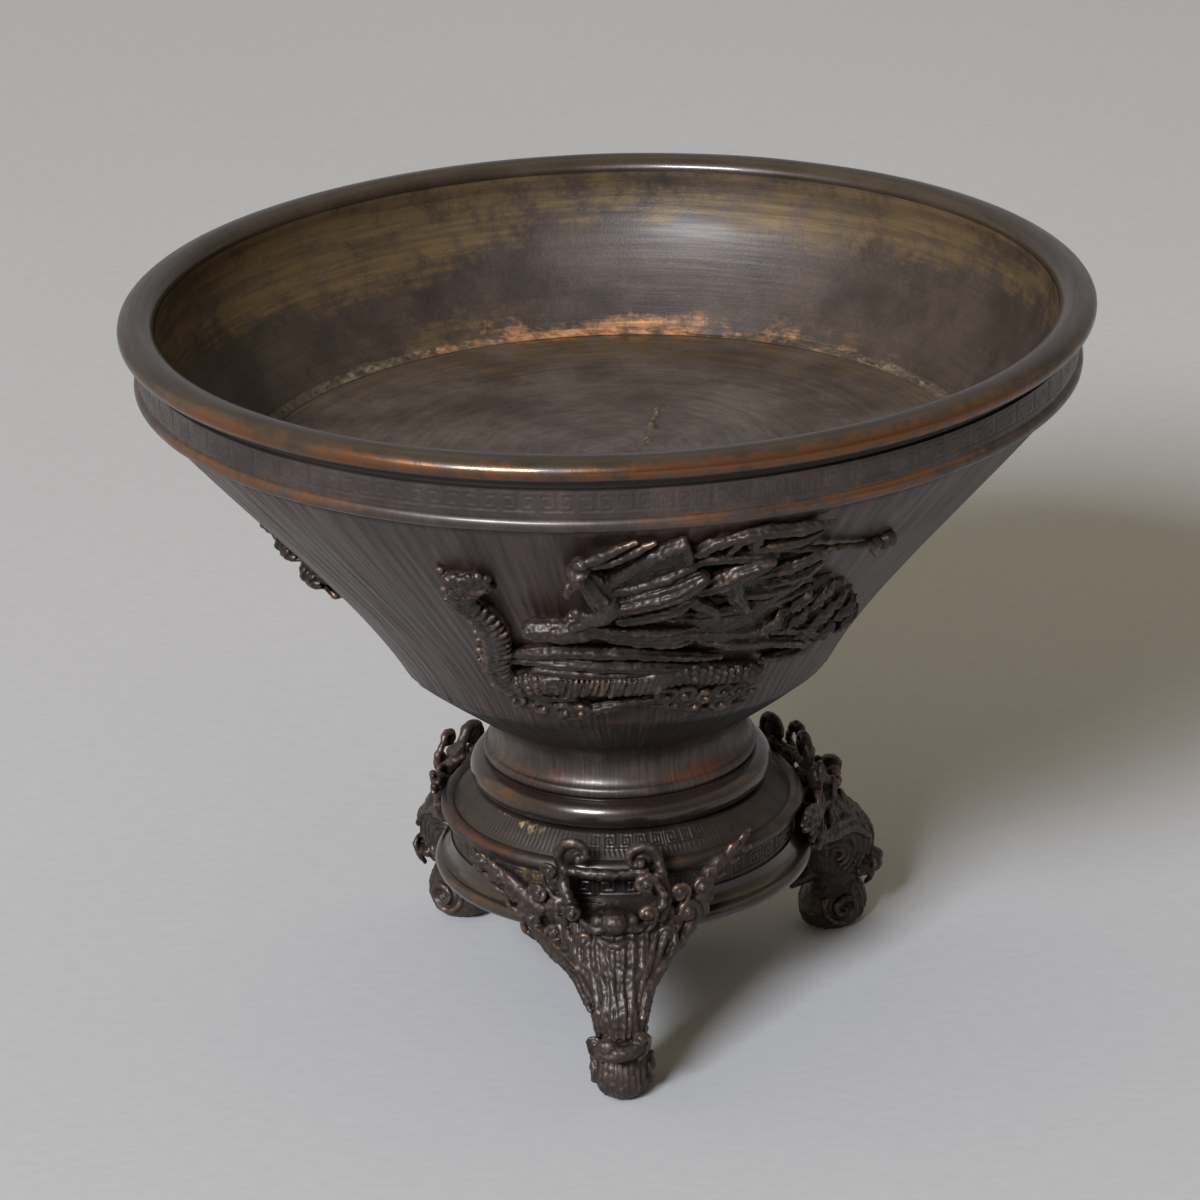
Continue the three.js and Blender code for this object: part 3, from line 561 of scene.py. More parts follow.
class Flow(Enum):
    """The way that a finish's streaks run."""

    CLOUDS = "clouds"
    RINGS = "rings"
    MERIDIANS = "meridians"

    def streaks(self, sketch: NodeSketch) -> Socket:
        """Makes the streaks.

        Args:
            sketch: Node tree that they are part of.

        Returns:
            Values from 0 to 1 that run this way.
        """
        if self is Flow.RINGS:
            return sketch.noise(520.0, 6.0, 0.62, sketch.along_rings())
        if self is Flow.MERIDIANS:
            return sketch.noise(640.0, 5.0, 0.62, sketch.along_meridians())
        return sketch.noise(240.0, 6.0, 0.62)


@dataclass(frozen=True)
class Patina:
    """A bronze finish: dark patina, streaks, rubbed high points, stains and wax."""

    name: str
    deep: Triple
    body: Triple
    rub: Triple
    roughness: float = 0.42
    rub_roughness: float = 0.3
    metal: float = 0.45
    grain: float = 0.25
    streak: float = 0.25
    wax: float = 0.15
    wax_roughness: float = 0.22
    stains: tuple[Stain, ...] = ()
    flow: Flow = Flow.CLOUDS

    @cache
    def material(self) -> Material:
        """Builds the node material of the finish, once.

        Returns:
            A material that reads the wear mask, the mask of dark patina and painted shade, and one mask for
            each stain.
        """
        sketch = NodeSketch(self.name)
        cloud = sketch.noise(48.0, 6.0, 0.6)
        streaks = self.flow.streaks(sketch)
        speck = sketch.noise(900.0, 4.0, 0.65)
        tone = sketch.mix(sketch.span(cloud, 0.34, 0.66), self.deep, self.body)
        tone = sketch.shaded(tone, sketch.span(streaks, 0.3, 0.7, 1 - self.streak, 1 + self.streak))
        tone = sketch.shaded(tone, sketch.span(speck, 0.3, 0.7, 0.88, 1.12))
        rough = sketch.total(
            sketch.span(cloud, 0.3, 0.7, self.roughness - 0.04, self.roughness + 0.05),
            sketch.span(streaks, 0.3, 0.7, 0.06, -0.05))
        patches = sketch.span(sketch.noise(170.0, 5.0, 0.7), 0.3, 0.7, -0.3, 0.3)
        worn = sketch.span(sketch.total(sketch.mask("wear"), patches), 0.2, 1.0)
        worn = sketch.times(worn, sketch.span(sketch.mask("wear"), 0.02, 0.15))
        tone = sketch.mix(worn, tone, self.rub)
        rough = sketch.total(rough, sketch.times(worn, self.rub_roughness - self.roughness))
        for stain in self.stains:
            share = self._share(sketch, stain, streaks)
            colour = sketch.shaded(stain.colour, sketch.span(streaks, 0.3, 0.7, 0.72, 1.3))
            tone = sketch.mix(share, tone, colour)
            rough = sketch.total(rough, sketch.times(share, 0.1))
        # Darkens by the mask that holds dark patina in hollows and painted shade under parts and in creases.
        dark = sketch.span(sketch.mask("grime"), 0.05, 0.9, 0.0, 0.85)
        tone = sketch.mix(dark, tone, tuple(0.4 * part for part in self.deep))
        rough = sketch.total(rough, sketch.times(dark, 0.2), clamp=True)
        metal = sketch.total(self.metal, sketch.times(worn, 0.8 - self.metal), clamp=True)
        height = sketch.total(sketch.noise(1500.0, 3.0, 0.6), sketch.times(streaks, 1.5))
        normal = sketch.bump(height, self.grain, 0.00012)
        sketch.set(Base_Color=tone, Roughness=rough, Metallic=metal, Normal=normal,
                   Specular_IOR_Level=0.5, Coat_Weight=self.wax, Coat_Roughness=self.wax_roughness)
        return sketch.material

    def _share(self, sketch: NodeSketch, stain: Stain, streaks: Socket) -> Socket:
        """Makes a stain's mask ragged.

        Args:
            sketch: Node tree that it is part of.
            stain: The stain.
            streaks: Streaks of the finish.

        Returns:
            How far the stain covers, from 0 to 1.
        """
        blotch = sketch.span(sketch.noise(110.0, 8.0, 0.75), 0.25, 0.75, -0.48, 0.48)
        thread = sketch.span(streaks, 0.3, 0.7, -0.1, 0.1)
        ragged = sketch.span(sketch.total(sketch.mask(stain.mask), blotch, thread), 0.15, 1.0)
        return sketch.times(ragged, sketch.span(sketch.mask(stain.mask), 0.02, 0.3))


CAST = Patina("cast_bronze", (0.0265, 0.0150, 0.0125), (0.0475, 0.0275, 0.0235), (0.16, 0.088, 0.056),
              streak=0.38, grain=0.5, wax=0.08, flow=Flow.MERIDIANS)
COLLAR = Patina("collar_bronze", (0.028, 0.019, 0.0165), (0.048, 0.034, 0.029), (0.17, 0.070, 0.030), wax=0.3)
RUBBED = Patina("rubbed_bronze", (0.024, 0.0152, 0.0098), (0.036, 0.0228, 0.0155), (0.140, 0.055, 0.020),
                roughness=0.36, rub_roughness=0.27, wax=0.38, wax_roughness=0.12, flow=Flow.RINGS)
RING = Patina("ring_bronze", (0.020, 0.0122, 0.010), (0.031, 0.0195, 0.0155), (0.12, 0.044, 0.02),
              roughness=0.31, rub_roughness=0.28, wax=0.6, wax_roughness=0.14, flow=Flow.RINGS)
BASIN = Patina("basin_bronze", (0.025, 0.017, 0.014), (0.050, 0.034, 0.028), (0.16, 0.09, 0.06),
               roughness=0.5, streak=0.12, grain=0.45, wax=0.05,
               stains=(Stain.OCHRE, Stain.COPPER, Stain.PALE), flow=Flow.RINGS)
FLOOR = Patina("floor_bronze", (0.056, 0.043, 0.037), (0.108, 0.084, 0.074), (0.18, 0.12, 0.09),
               roughness=0.37, streak=0.22, grain=0.6,
               stains=(Stain.OCHRE, Stain.COPPER, Stain.PALE), flow=Flow.RINGS)
NECK = Patina("neck_bronze", (0.026, 0.0175, 0.015), (0.050, 0.036, 0.030), (0.12, 0.07, 0.05),
              streak=0.4, wax=0.2, wax_roughness=0.24, stains=(Stain.RED,), flow=Flow.MERIDIANS)
LEAF = Patina("relief_bronze", (0.014, 0.0085, 0.0068), (0.035, 0.0215, 0.0170), (0.19, 0.112, 0.074),
              roughness=0.5, rub_roughness=0.34, wax=0.14, wax_roughness=0.28)
BASE = Patina("base_bronze", (0.0135, 0.0086, 0.0072), (0.027, 0.0178, 0.0148), (0.11, 0.056, 0.034),
              roughness=0.48, stains=(Stain.BRASS, Stain.RED), wax=0.2)
SOLDER = Patina("solder", (0.030, 0.021, 0.015), (0.066, 0.048, 0.033), (0.21, 0.155, 0.105),
                roughness=0.6, rub_roughness=0.5, metal=0.25, grain=0.6, wax=0.0,
                stains=(Stain.COPPER, Stain.PALE))


class Clay:
    """Overlapping closed forms that are fused into one cast skin."""

    CRUMB = 200
    SMOOTHING = (0.5, -0.52, 0.5, -0.52)

    def __init__(self) -> None:
        """Starts with nothing."""
        self._points: list[np.ndarray] = []
        self._quads: list[np.ndarray] = []
        self._count = 0

    def skin(self, rings: np.ndarray) -> None:
        """Adds a closed form.

        Args:
            rings: Rings of points along it, shaped (rings, sides, 3).
        """
        sides = rings.shape[1]
        first, last = (np.repeat(ring.mean(0)[None], sides, 0)[None] for ring in (rings[0], rings[-1]))
        rings = np.concatenate([first, rings, last])
        i, k = np.meshgrid(np.arange(len(rings) - 1), np.arange(sides), indexing="ij")
        k1 = (k + 1) % sides
        quads = np.stack([i * sides + k, i * sides + k1, (i + 1) * sides + k1, (i + 1) * sides + k], 2)
        self._points.append(rings.reshape(-1, 3))
        self._quads.append(quads.reshape(-1, 4) + self._count)
        self._count += len(self._points[-1])

    def bar(self, stops: np.ndarray, radii: Sequence[float], out: np.ndarray | None = None,
            sides: int = 10, step: float = 0.7, grooves: int = 0) -> None:
        """Adds a round-ended bar along a smooth curve.

        Args:
            stops: Points the curve passes through.
            radii: Radii, spread evenly along the curve.
            out: Direction that counts as the bar's height, one for each stop.
            sides: Sides of the section.
            step: Distance between rings in millimetres.
            grooves: Number of grooves along the bar.
        """
        sides = max(sides, 5 * grooves)
        length = np.linalg.norm(np.diff(stops, axis=0), axis=1).sum()
        count = max(int(length / step), 4)
        place = np.linspace(0, len(stops) - 1, count)
        centre = spline(stops, place)
        radius = np.interp(np.linspace(0, 1, count), np.linspace(0, 1, len(radii)), radii)
        tangent = unit(np.gradient(centre, axis=0))
        height = np.array([[0.31, 0.52, 0.79]]) if out is None else spline(out, place)
        side = unit(np.cross(tangent, height))
        height = np.cross(side, tangent)
        lead, narrow = np.array([0.94, 0.66]), np.array([0.34, 0.75])
        first = centre[0] - tangent[0] * radius[0] * lead[:, None]
        last = centre[-1] + tangent[-1] * radius[-1] * lead[::-1, None]
        centre = np.concatenate([first, centre, last])
        radius = np.concatenate([radius[0] * narrow, radius, radius[-1] * narrow[::-1]])
        side, height = (np.concatenate([way[[0, 0]], way, way[[-1, -1]]]) for way in (side, height))
        turn = 2 * np.pi * np.arange(sides) / sides
        ridge = 1 + 0.11 * np.cos(grooves * turn) if grooves else np.ones(sides)
        round_it = np.cos(turn)[:, None] * side[:, None] + np.sin(turn)[:, None] * height[:, None]
        self.skin(centre[:, None] + (radius[:, None] * ridge)[:, :, None] * round_it)

    def ball(self, centre: np.ndarray, axes: np.ndarray, sides: int = 12) -> None:
        """Adds an ellipsoid.

        Args:
            centre: Its centre.
            axes: Its three half axes, one in each row.
            sides: Sides of its rings.
        """
        rise = np.radians(np.linspace(-80, 80, sides // 2 + 2))[:, None]
        turn = 2 * np.pi * np.arange(sides) / sides
        wide, level = np.cos(rise), np.repeat(np.sin(rise), sides, 1)
        self.skin(centre + np.stack([wide * np.cos(turn), wide * np.sin(turn), level], 2) @ axes)

    def fused(self, voxel: float) -> Surface:
        """Fuses the forms into one skin and smooths it.

        Args:
            voxel: Size of the finest detail kept, in millimetres.

        Returns:
            The outer skin of all the forms.
        """
        mesh = bpy.data.meshes.new("clay")
        mesh.from_pydata(np.concatenate(self._points).tolist(), [], np.concatenate(self._quads).tolist())
        mesh.validate()
        lump = bpy.data.objects.new("clay", mesh)
        bpy.context.scene.collection.objects.link(lump)
        modifier = lump.modifiers.new("fuse", "REMESH")
        modifier.mode = "VOXEL"
        modifier.voxel_size = voxel
        skin = lump.evaluated_get(bpy.context.evaluated_depsgraph_get()).to_mesh()
        points = np.empty(len(skin.vertices) * 3, np.float32)
        skin.vertices.foreach_get("co", points)
        corners = np.empty(len(skin.loops), np.int32)
        skin.loops.foreach_get("vertex_index", corners)
        sizes = np.empty(len(skin.polygons), np.int32)
        skin.polygons.foreach_get("loop_total", sizes)
        starts = np.cumsum(sizes) - sizes
        corners = corners.astype(np.int64)
        faces = [corners[starts[sizes == size][:, None] + np.arange(size)] for size in np.unique(sizes)]
        bpy.data.objects.remove(lump)
        bpy.data.meshes.remove(mesh)
        surface = Surface(points.reshape(-1, 3).astype(float), faces).cleared(self.CRUMB)
        links = surface.links()
        for weight in self.SMOOTHING:
            surface.points = surface.relaxed(surface.points, links, weight)
        return surface


@dataclass(frozen=True)
class Stack:
    """Heights and radii that neighbouring castings share, in millimetres."""

    skirt_bottom: float = 35.2
    skirt_top: float = 38.8
    cove_top: float = 43.2
    drum_bottom: float = 39.1
    drum_top: float = 49.4
    platform_bottom: float = 49.7
    platform_top: float = 58.4
    ring_bottom: float = 58.7
    ring_top: float = 66.0
    bowl_bottom: float = 79.6
    belly: float = 94.0
    wall_top: float = 167.8
    rim_top: float = 180.8
    lip_bottom: float = 181.1
    floor_top: float = 145.2
    rim_radius: float = 120.0
    wall_top_radius: float = 114.2
    belly_radius: float = 54.5
    neck_top_radius: float = 35.6
    tenon_bore: float = 29.3

    def under(self, count: int) -> np.ndarray:
        """Draws the underside.

        Args:
            count: Number of points.

        Returns:
            Its outline from the neck's seat to the belly.
        """
        wide, rise = self.belly_radius - self.neck_top_radius, self.belly - self.bowl_bottom
        return bezier([(self.neck_top_radius, self.bowl_bottom),
                       (self.neck_top_radius + 0.62 * wide, self.bowl_bottom + 0.57 * rise),
                       (self.belly_radius, self.belly)], count)

    def wall(self, count: int) -> np.ndarray:
        """Draws the wall.

        Args:
            count: Number of points.

        Returns:
            Its outline from the belly to the upright rim.
        """
        rise = self.wall_top - self.belly
        return bezier([(self.belly_radius, self.belly),
                       (self.belly_radius + 0.165 * rise, self.belly + 0.3 * rise),
                       (self.wall_top_radius - 0.332 * rise, self.wall_top - 0.4 * rise),
                       (self.wall_top_radius, self.wall_top)], count)


STACK = Stack()


class Casting:
    """A sub-assembly whose pieces stand for nodes of the model."""

    def keep(self, surface: Surface, node: str, slot: Slot, *finishes: Patina) -> None:
        """Makes a surface into the piece that stands for a node.

        Args:
            surface: Shape and masks of the piece.
            node: Node of the model, which also names the piece.
            slot: Material slot of the record; not used.
            finishes: Finishes of the piece.
        """
        piece = surface.build(f"{node}_cast", [finish.material() for finish in finishes])
        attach(piece, "root")
        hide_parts(node)
        LOG.info("%s: %d faces", piece.name, len(piece.data.polygons))


@dataclass
class LipRing(Casting):
    """The rolled lip round the rim."""

    half_width: float = 4.5
    half_height: float = 3.13
    rise: float = 5.7
    roll_start: float = -54.0
    steps: int = 480

    def make(self) -> None:
        """Builds the lip and paints where hands have rubbed it."""
        inner = STACK.rim_radius - 2 * self.half_width
        centre = (STACK.rim_radius - self.half_width, STACK.lip_bottom + self.rise - self.half_height)
        section = Section()
        section.run("roll", arc(centre, (self.half_width, self.half_height), self.roll_start, 180, 48))
        section.to("inner", (inner, STACK.rim_top), 5)
        section.close("seat", 5)
        turns = all_round(self.steps)
        surface = section.turned(turns, 0.05 * section.noise(turns, 40, 4, 3))
        edge = section.on("roll") * np.exp(-((section.share - 0.24) / 0.19) ** 2)
        hands = 0.28 + 0.5 * beside(turns, -36, 20) + 0.55 * beside(turns, 20, 26)
        hands = hands + 0.2 * beside(turns, 75, 20)
        rub = edge * (hands + 0.3 * section.noise(turns, 30, 3, 4))
        surface.paint(wear=np.clip(rub, 0, 1), grime=section.on("inner") * 0.3 * section.share)
        self.keep(surface, "lip_ring", Slot.RUBBED, RUBBED)


@dataclass
class CollarBand(Casting):
    """The upright strip under the lip: a fret, a half-round bead below it and a recess above."""

    inner: float = 114.5
    outer: float = 115.7
    bead: float = 1.9
    recess: float = 2.4
    chamfer: float = 0.4
    keys: int = 164
    steps_per_key: int = 13
    depth: float = 0.14

    def make(self) -> None:
        """Builds the strip, cuts its key pattern and rubs its bead."""
        level = STACK.wall_top + self.bead + 0.3
        ledge = STACK.rim_top - self.recess
        section = Section()
        section.run("back", line((self.inner, STACK.rim_top), (self.inner, level - self.bead), 4))
        section.run("bead", arc((self.inner + 0.3, level), (self.bead, self.bead), -90, 62, 16))
        section.run("face", line((self.outer, level + self.bead + 0.2), (self.outer, ledge), 24))
        section.to("recess", (self.inner + self.chamfer, ledge + self.chamfer), 3)
        section.to("recess", (self.inner + self.chamfer, STACK.rim_top), 3)
        turns = all_round(self.keys * self.steps_per_key)
        share, bead = section.share, section.on("bead")
        ground = section.on("face") * smooth(0.0, 0.1, share) * smooth(1.0, 0.9, share)
        fret = ground * key_fret(turns * self.keys, np.clip((share - 0.08) / 0.84, 0, 1))
        dents = bead * 0.07 * section.noise(turns, 60, 2, 5)
        surface = section.turned(turns, self.depth * (fret - 0.5 * ground) + dents)
        hands = 0.34 + 0.3 * beside(turns, -42, 16) + 0.25 * beside(turns, 30, 26)
        hands = hands * (1 - 0.9 * beside(turns, -13, 15))
        rub = bead * smooth(0.2, 0.6, share) * (hands + 0.3 * section.noise(turns, 34, 2, 6)) + 0.1 * fret
        # The recess under the lip is darkened as painted shade; the fret's sunk ground is darkened as dark
        # patina.
        surface.paint(wear=np.clip(rub, 0, 1), grime=0.32 * (ground - fret) + 0.8 * section.on("recess"))
        self.keep(surface, "collar_band", Slot.CAST, COLLAR)


@dataclass
class BowlWall(Casting):
    """The trumpet wall: combed outside, turned smooth and stained inside."""

    thickness: float = 3.2
    bore: float = 28.3
    bend: float = 17.0
    flange: float = 2.5
    comb_depth: float = 0.19
    steps: int = 1500

    def inside(self) -> np.ndarray:
        """Draws the inner face, which bends upright below the rim.

        Returns:
            Its outline from the bottom up.
        """
        outer = np.vstack([STACK.under(10), STACK.wall(40)[1:]])
        along = unit(np.gradient(outer, axis=0))
        inner = outer + self.thickness * np.stack([-along[:, 1], along[:, 0]], 1)
        foot = STACK.wall_top - self.bend
        start = (float(np.interp(foot, inner[:, 1], inner[:, 0])), foot)
        upright = STACK.wall_top_radius - self.thickness
        bend = bezier([start, (upright, STACK.wall_top), (upright, STACK.rim_top)], 18)
        return np.vstack([inner[inner[:, 1] < foot - 0.5], bend])

    def make(self) -> None:
        """Builds the wall and paints its streaks, its stains and painted shade on its underside."""
        inner = self.inside()[::-1]
        seat, edge, bottom = STACK.bowl_bottom, inner[0][0], inner[-1][1]
        flange = (edge - 0.15, STACK.rim_top + self.flange)
        section = Section()
        section.run("seat", line((self.bore, seat), (STACK.neck_top_radius, seat), 3))
        section.run("under", STACK.under(10))
        section.run("wall", STACK.wall(44))
        section.to("upright", (STACK.wall_top_radius, STACK.rim_top), 4)
        section.to("edge", (edge + 0.3, STACK.rim_top), 3)
        section.run("basin", line(flange, (flange[0], STACK.rim_top), 4)[:-1])
        section.run("basin", inner)
        section.to("bore", (self.bore, bottom), 2)
        turns = all_round(self.steps)
        level = section.points[:, 1]
        under, within = section.on("under"), section.on("basin")
        combed = section.on("wall") + under
        rows = (level - seat) / (STACK.wall_top - seat)
        comb = 0.6 * lattice_noise(turns, rows, 470, 6, 11) + 0.55 * lattice_noise(turns, rows, 190, 4, 12)
        comb = combed * comb
        surface = section.turned(turns, self.comb_depth * comb)
        # Painted shade: the wall is darkened below the belly, where the bowl's own shadow falls.
        underside_shade = 0.7 * smooth(STACK.belly + 4, STACK.belly - 5, level)
        seam = 0.3 * beside(turns, 223, 11) + 0.3 * beside(turns, 127, 9)
        surface.paint(
            wear=combed * np.clip(0.03 + 0.2 * comb, 0, 1),
            grime=combed * np.clip(underside_shade - 0.3 * comb, 0, 1),
            ochre=within * self._ochre(turns, level),
            copper=within * self._copper(turns, level),
            pale=within * seam * smooth(150.0, 147.0, level))
        # The underside takes the darker base finish as painted shade; the basin takes its own finish.
        surface.finish_of_face = np.resize(within + 2 * under, len(surface.points))
        self.keep(surface, "bowl_wall", Slot.CAST, CAST, BASIN, BASE)

    def _ochre(self, turns: np.ndarray, level: np.ndarray) -> np.ndarray:
        """Paints the dull yellow band under the lip, broad at the back left and thin elsewhere.

        Args:
            turns: Places round the axis.
            level: Heights along the section.

        Returns:
            Strength of the stain.
        """
        broad = np.clip(beside(turns, 220, 28) + 0.6 * beside(turns, 252, 24), 0, 1)
        right = beside(turns, 137, 34)
        reach = 6.0 + 12.0 * broad + 5.0 * right + 2.4 * lattice_noise(turns, level * 0, 30, 1, 13)
        depth = STACK.rim_top - level
        strength = 0.46 + 0.4 * np.clip(broad + 0.8 * right, 0, 1)
        smear = 0.55 * beside(turns, 205, 19) * smooth(13, 3, level - STACK.floor_top)
        smear = smear + 0.55 * beside(turns, 148, 16) * smooth(8, 2, level - STACK.floor_top)
        return np.maximum(strength * smooth(reach + 8, reach - 5, depth), smear)

    def _copper(self, turns: np.ndarray, level: np.ndarray) -> np.ndarray:
        """Paints the bare copper that shows above the floor's seam at the back.

        Args:
            turns: Places round the axis.
            level: Heights along the section.

        Returns:
            Strength of the stain.
        """
        back, left, right = beside(turns, 177, 10), beside(turns, 198, 10), beside(turns, 147, 14)
        reach = 1.0 + 2.6 * back + 2.2 * left + 1.8 * right + 1.6 * lattice_noise(turns, level * 0, 46, 1, 14)
        strength = 0.05 + 0.85 * back + 0.4 * left + 0.5 * right
        return strength * smooth(reach + 3.5, reach - 1.0, level - STACK.floor_top)


@dataclass
class BasinFloor(Casting):
    """The flat floor and the rough solder that holds it in the wall."""

    thickness: float = 3.0
    radius: float = 90.6
    bevel: float = 3.4
    pin_hole: float = 0.05
    ring_pitch: float = 0.75
    scar_side: float = 7.4
    scar_length: float = 32.0
    steps: int = 420
    seam_inner: float = 88.7
    seam_foot: float = 90.9
    seam_outer: float = 91.8
    seam_rise: float = 1.3
    seam_steps: int = 1500

    def make(self) -> None:
        """Builds the floor and the solder run."""
        self._floor()
        self._seam()

    def _floor(self) -> None:
        """Builds the floor with its turning marks and its scar."""
        bottom = STACK.floor_top - self.thickness
        section = Section()
        section.run("under", line((self.pin_hole, bottom), (self.radius - self.bevel, bottom), 12))
        section.to("bevel", (self.radius, STACK.floor_top), 3)
        section.to("face", (self.pin_hole, STACK.floor_top), 130)
        face = section.on("face")
        radius = section.points[:, 0]
        rows = radius / self.radius
        marks = np.random.default_rng(21).uniform(-1, 1, 122)
        rings = 0.035 * np.interp(radius, self.ring_pitch * np.arange(len(marks)), marks)
        turns = all_round(self.steps)
        side, back = radius * np.sin(2 * np.pi * turns), -radius * np.cos(2 * np.pi * turns)
        off = side - self.scar_side - 0.135 * back + 0.5 * np.sin(0.7 * back)
        ends = smooth(0, 4, back) * smooth(self.scar_length + 3, self.scar_length - 3, back)
        scar = np.exp(-(off / 0.9) ** 2) * ends * (0.6 + lattice_noise(turns, rows, 200, 90, 22))
        dents = 0.06 * lattice_noise(turns, rows, 14, 6, 23)
        surface = section.turned(turns, face * (rings + dents + 0.8 * scar))
        blotch = lattice_noise(turns, rows, 12, 5, 24)
        rim = smooth(52, 86, radius) * (0.5 - 0.5 * np.cos(2 * np.pi * turns))
        surface.paint(
            wear=np.clip(face * 1.2 * (scar - 0.2), 0, 0.8),
            grime=np.clip(face * -5 * (rings + dents), 0, 0.4),
            ochre=face * np.clip(0.06 + 0.14 * blotch + 0.42 * rim, 0, 0.7),
            pale=face * np.clip(scar - 0.3, 0, 1),
            copper=face * 0.3 * smooth(80, 88, radius) * beside(turns, 180, 30))
        self.keep(surface, "floor_disc", Slot.BASIN, FLOOR)

    def _seam(self) -> None:
        """Builds the lumpy run of solder, broken by a crack at the back."""
        foot = STACK.floor_top + 0.1
        top = (self.seam_outer, foot + self.seam_rise)
        section = Section()
        section.run("foot", line((self.seam_inner, foot), (self.seam_foot, foot), 4))
        section.to("back", top, 4)
        section.run("face", bezier([top, (90.1, foot + 0.5), (self.seam_inner, foot)], 14)[:-1])
        face = section.on("face")
        turns = all_round(self.seam_steps)
        lumps = section.noise(turns, 420, 4, 31) + 0.6 * section.noise(turns, 90, 2, 32)
        grains = 0.75 * beside(turns, 223, 14) + 0.75 * beside(turns, 127, 12) + 0.25
        height = 0.05 + (0.2 + 0.4 * grains) * lumps - 1.3 * beside(turns, 164.5, 3.2)
        height = face * np.sin(np.pi * section.share) * height
        surface = section.turned(turns, height)
        surface.paint(
            wear=np.clip(1.4 * height * grains, 0, 1),
            grime=np.clip(-1.2 * height, 0, 1),
            copper=0.75 * beside(turns, 182, 34) * face,
            pale=face * (0.55 * grains - 0.15))
        self.keep(surface, "floor_solder_seam", Slot.SOLDER, SOLDER)


@dataclass
class NeckStem(Casting):
    """The waisted neck with its spigot, its rounded foot and worn drips."""

    bore: float = 24.0
    tenon: float = 29.0
    spigot: float = 28.0
    spigot_rise: float = 1.9
    foot_radius: float = 34.7
    foot_round: float = 1.1
    foot_height: float = 2.8
    waist: float = 31.5
    steps: int = 900

    def make(self) -> None:
        """Builds the neck and rubs its foot."""
        foot, seat, bottom = STACK.ring_top, STACK.bowl_bottom, STACK.platform_bottom
        half = self.foot_height / 2
        hub = self.foot_radius - self.foot_round
        section = Section()
        section.run("bore", line((self.bore, seat + self.spigot_rise), (self.bore, bottom), 6))
        section.to("tenon", (self.tenon, bottom), 3)
        section.to("tenon", (self.tenon, foot), 4)
        section.to("ledge", (hub, foot), 4)
        section.run("foot", arc((hub, foot + half), (self.foot_round, half), -90, 78, 14))
        section.run("waist", bezier([section.points[-1], (self.waist, foot + 4.4), (self.waist, seat - 2.9),
                                     (STACK.neck_top_radius, seat)], 46))
        section.to("seat", (self.spigot, seat), 4)
        section.to("spigot", (self.spigot, seat + self.spigot_rise), 3)
        turns = all_round(self.steps)
        waist, share = section.on("waist"), section.share
        drips = waist * smooth(0.05, 0.3, share) * smooth(1.0, 0.85, share) * section.noise(turns, 110, 3, 42)
        surface = section.turned(turns, 0.07 * drips)
        low = waist * smooth(0.6, 0.12, share)
        rub = 0.14 * low * (1 + section.noise(turns, 26, 2, 43)) + 0.14 * section.on("foot")
        glow = 0.7 * beside(turns, 36, 18) + 0.4 * beside(turns, -34, 14) + 0.1
        surface.paint(
            wear=np.clip(rub, 0, 1),
            grime=np.clip(-0.5 * drips, 0, 0.6),
            red=np.clip((low + 0.5 * section.on("foot")) * glow, 0, 1))
        self.keep(surface, "neck_stem", Slot.CAST, NECK)


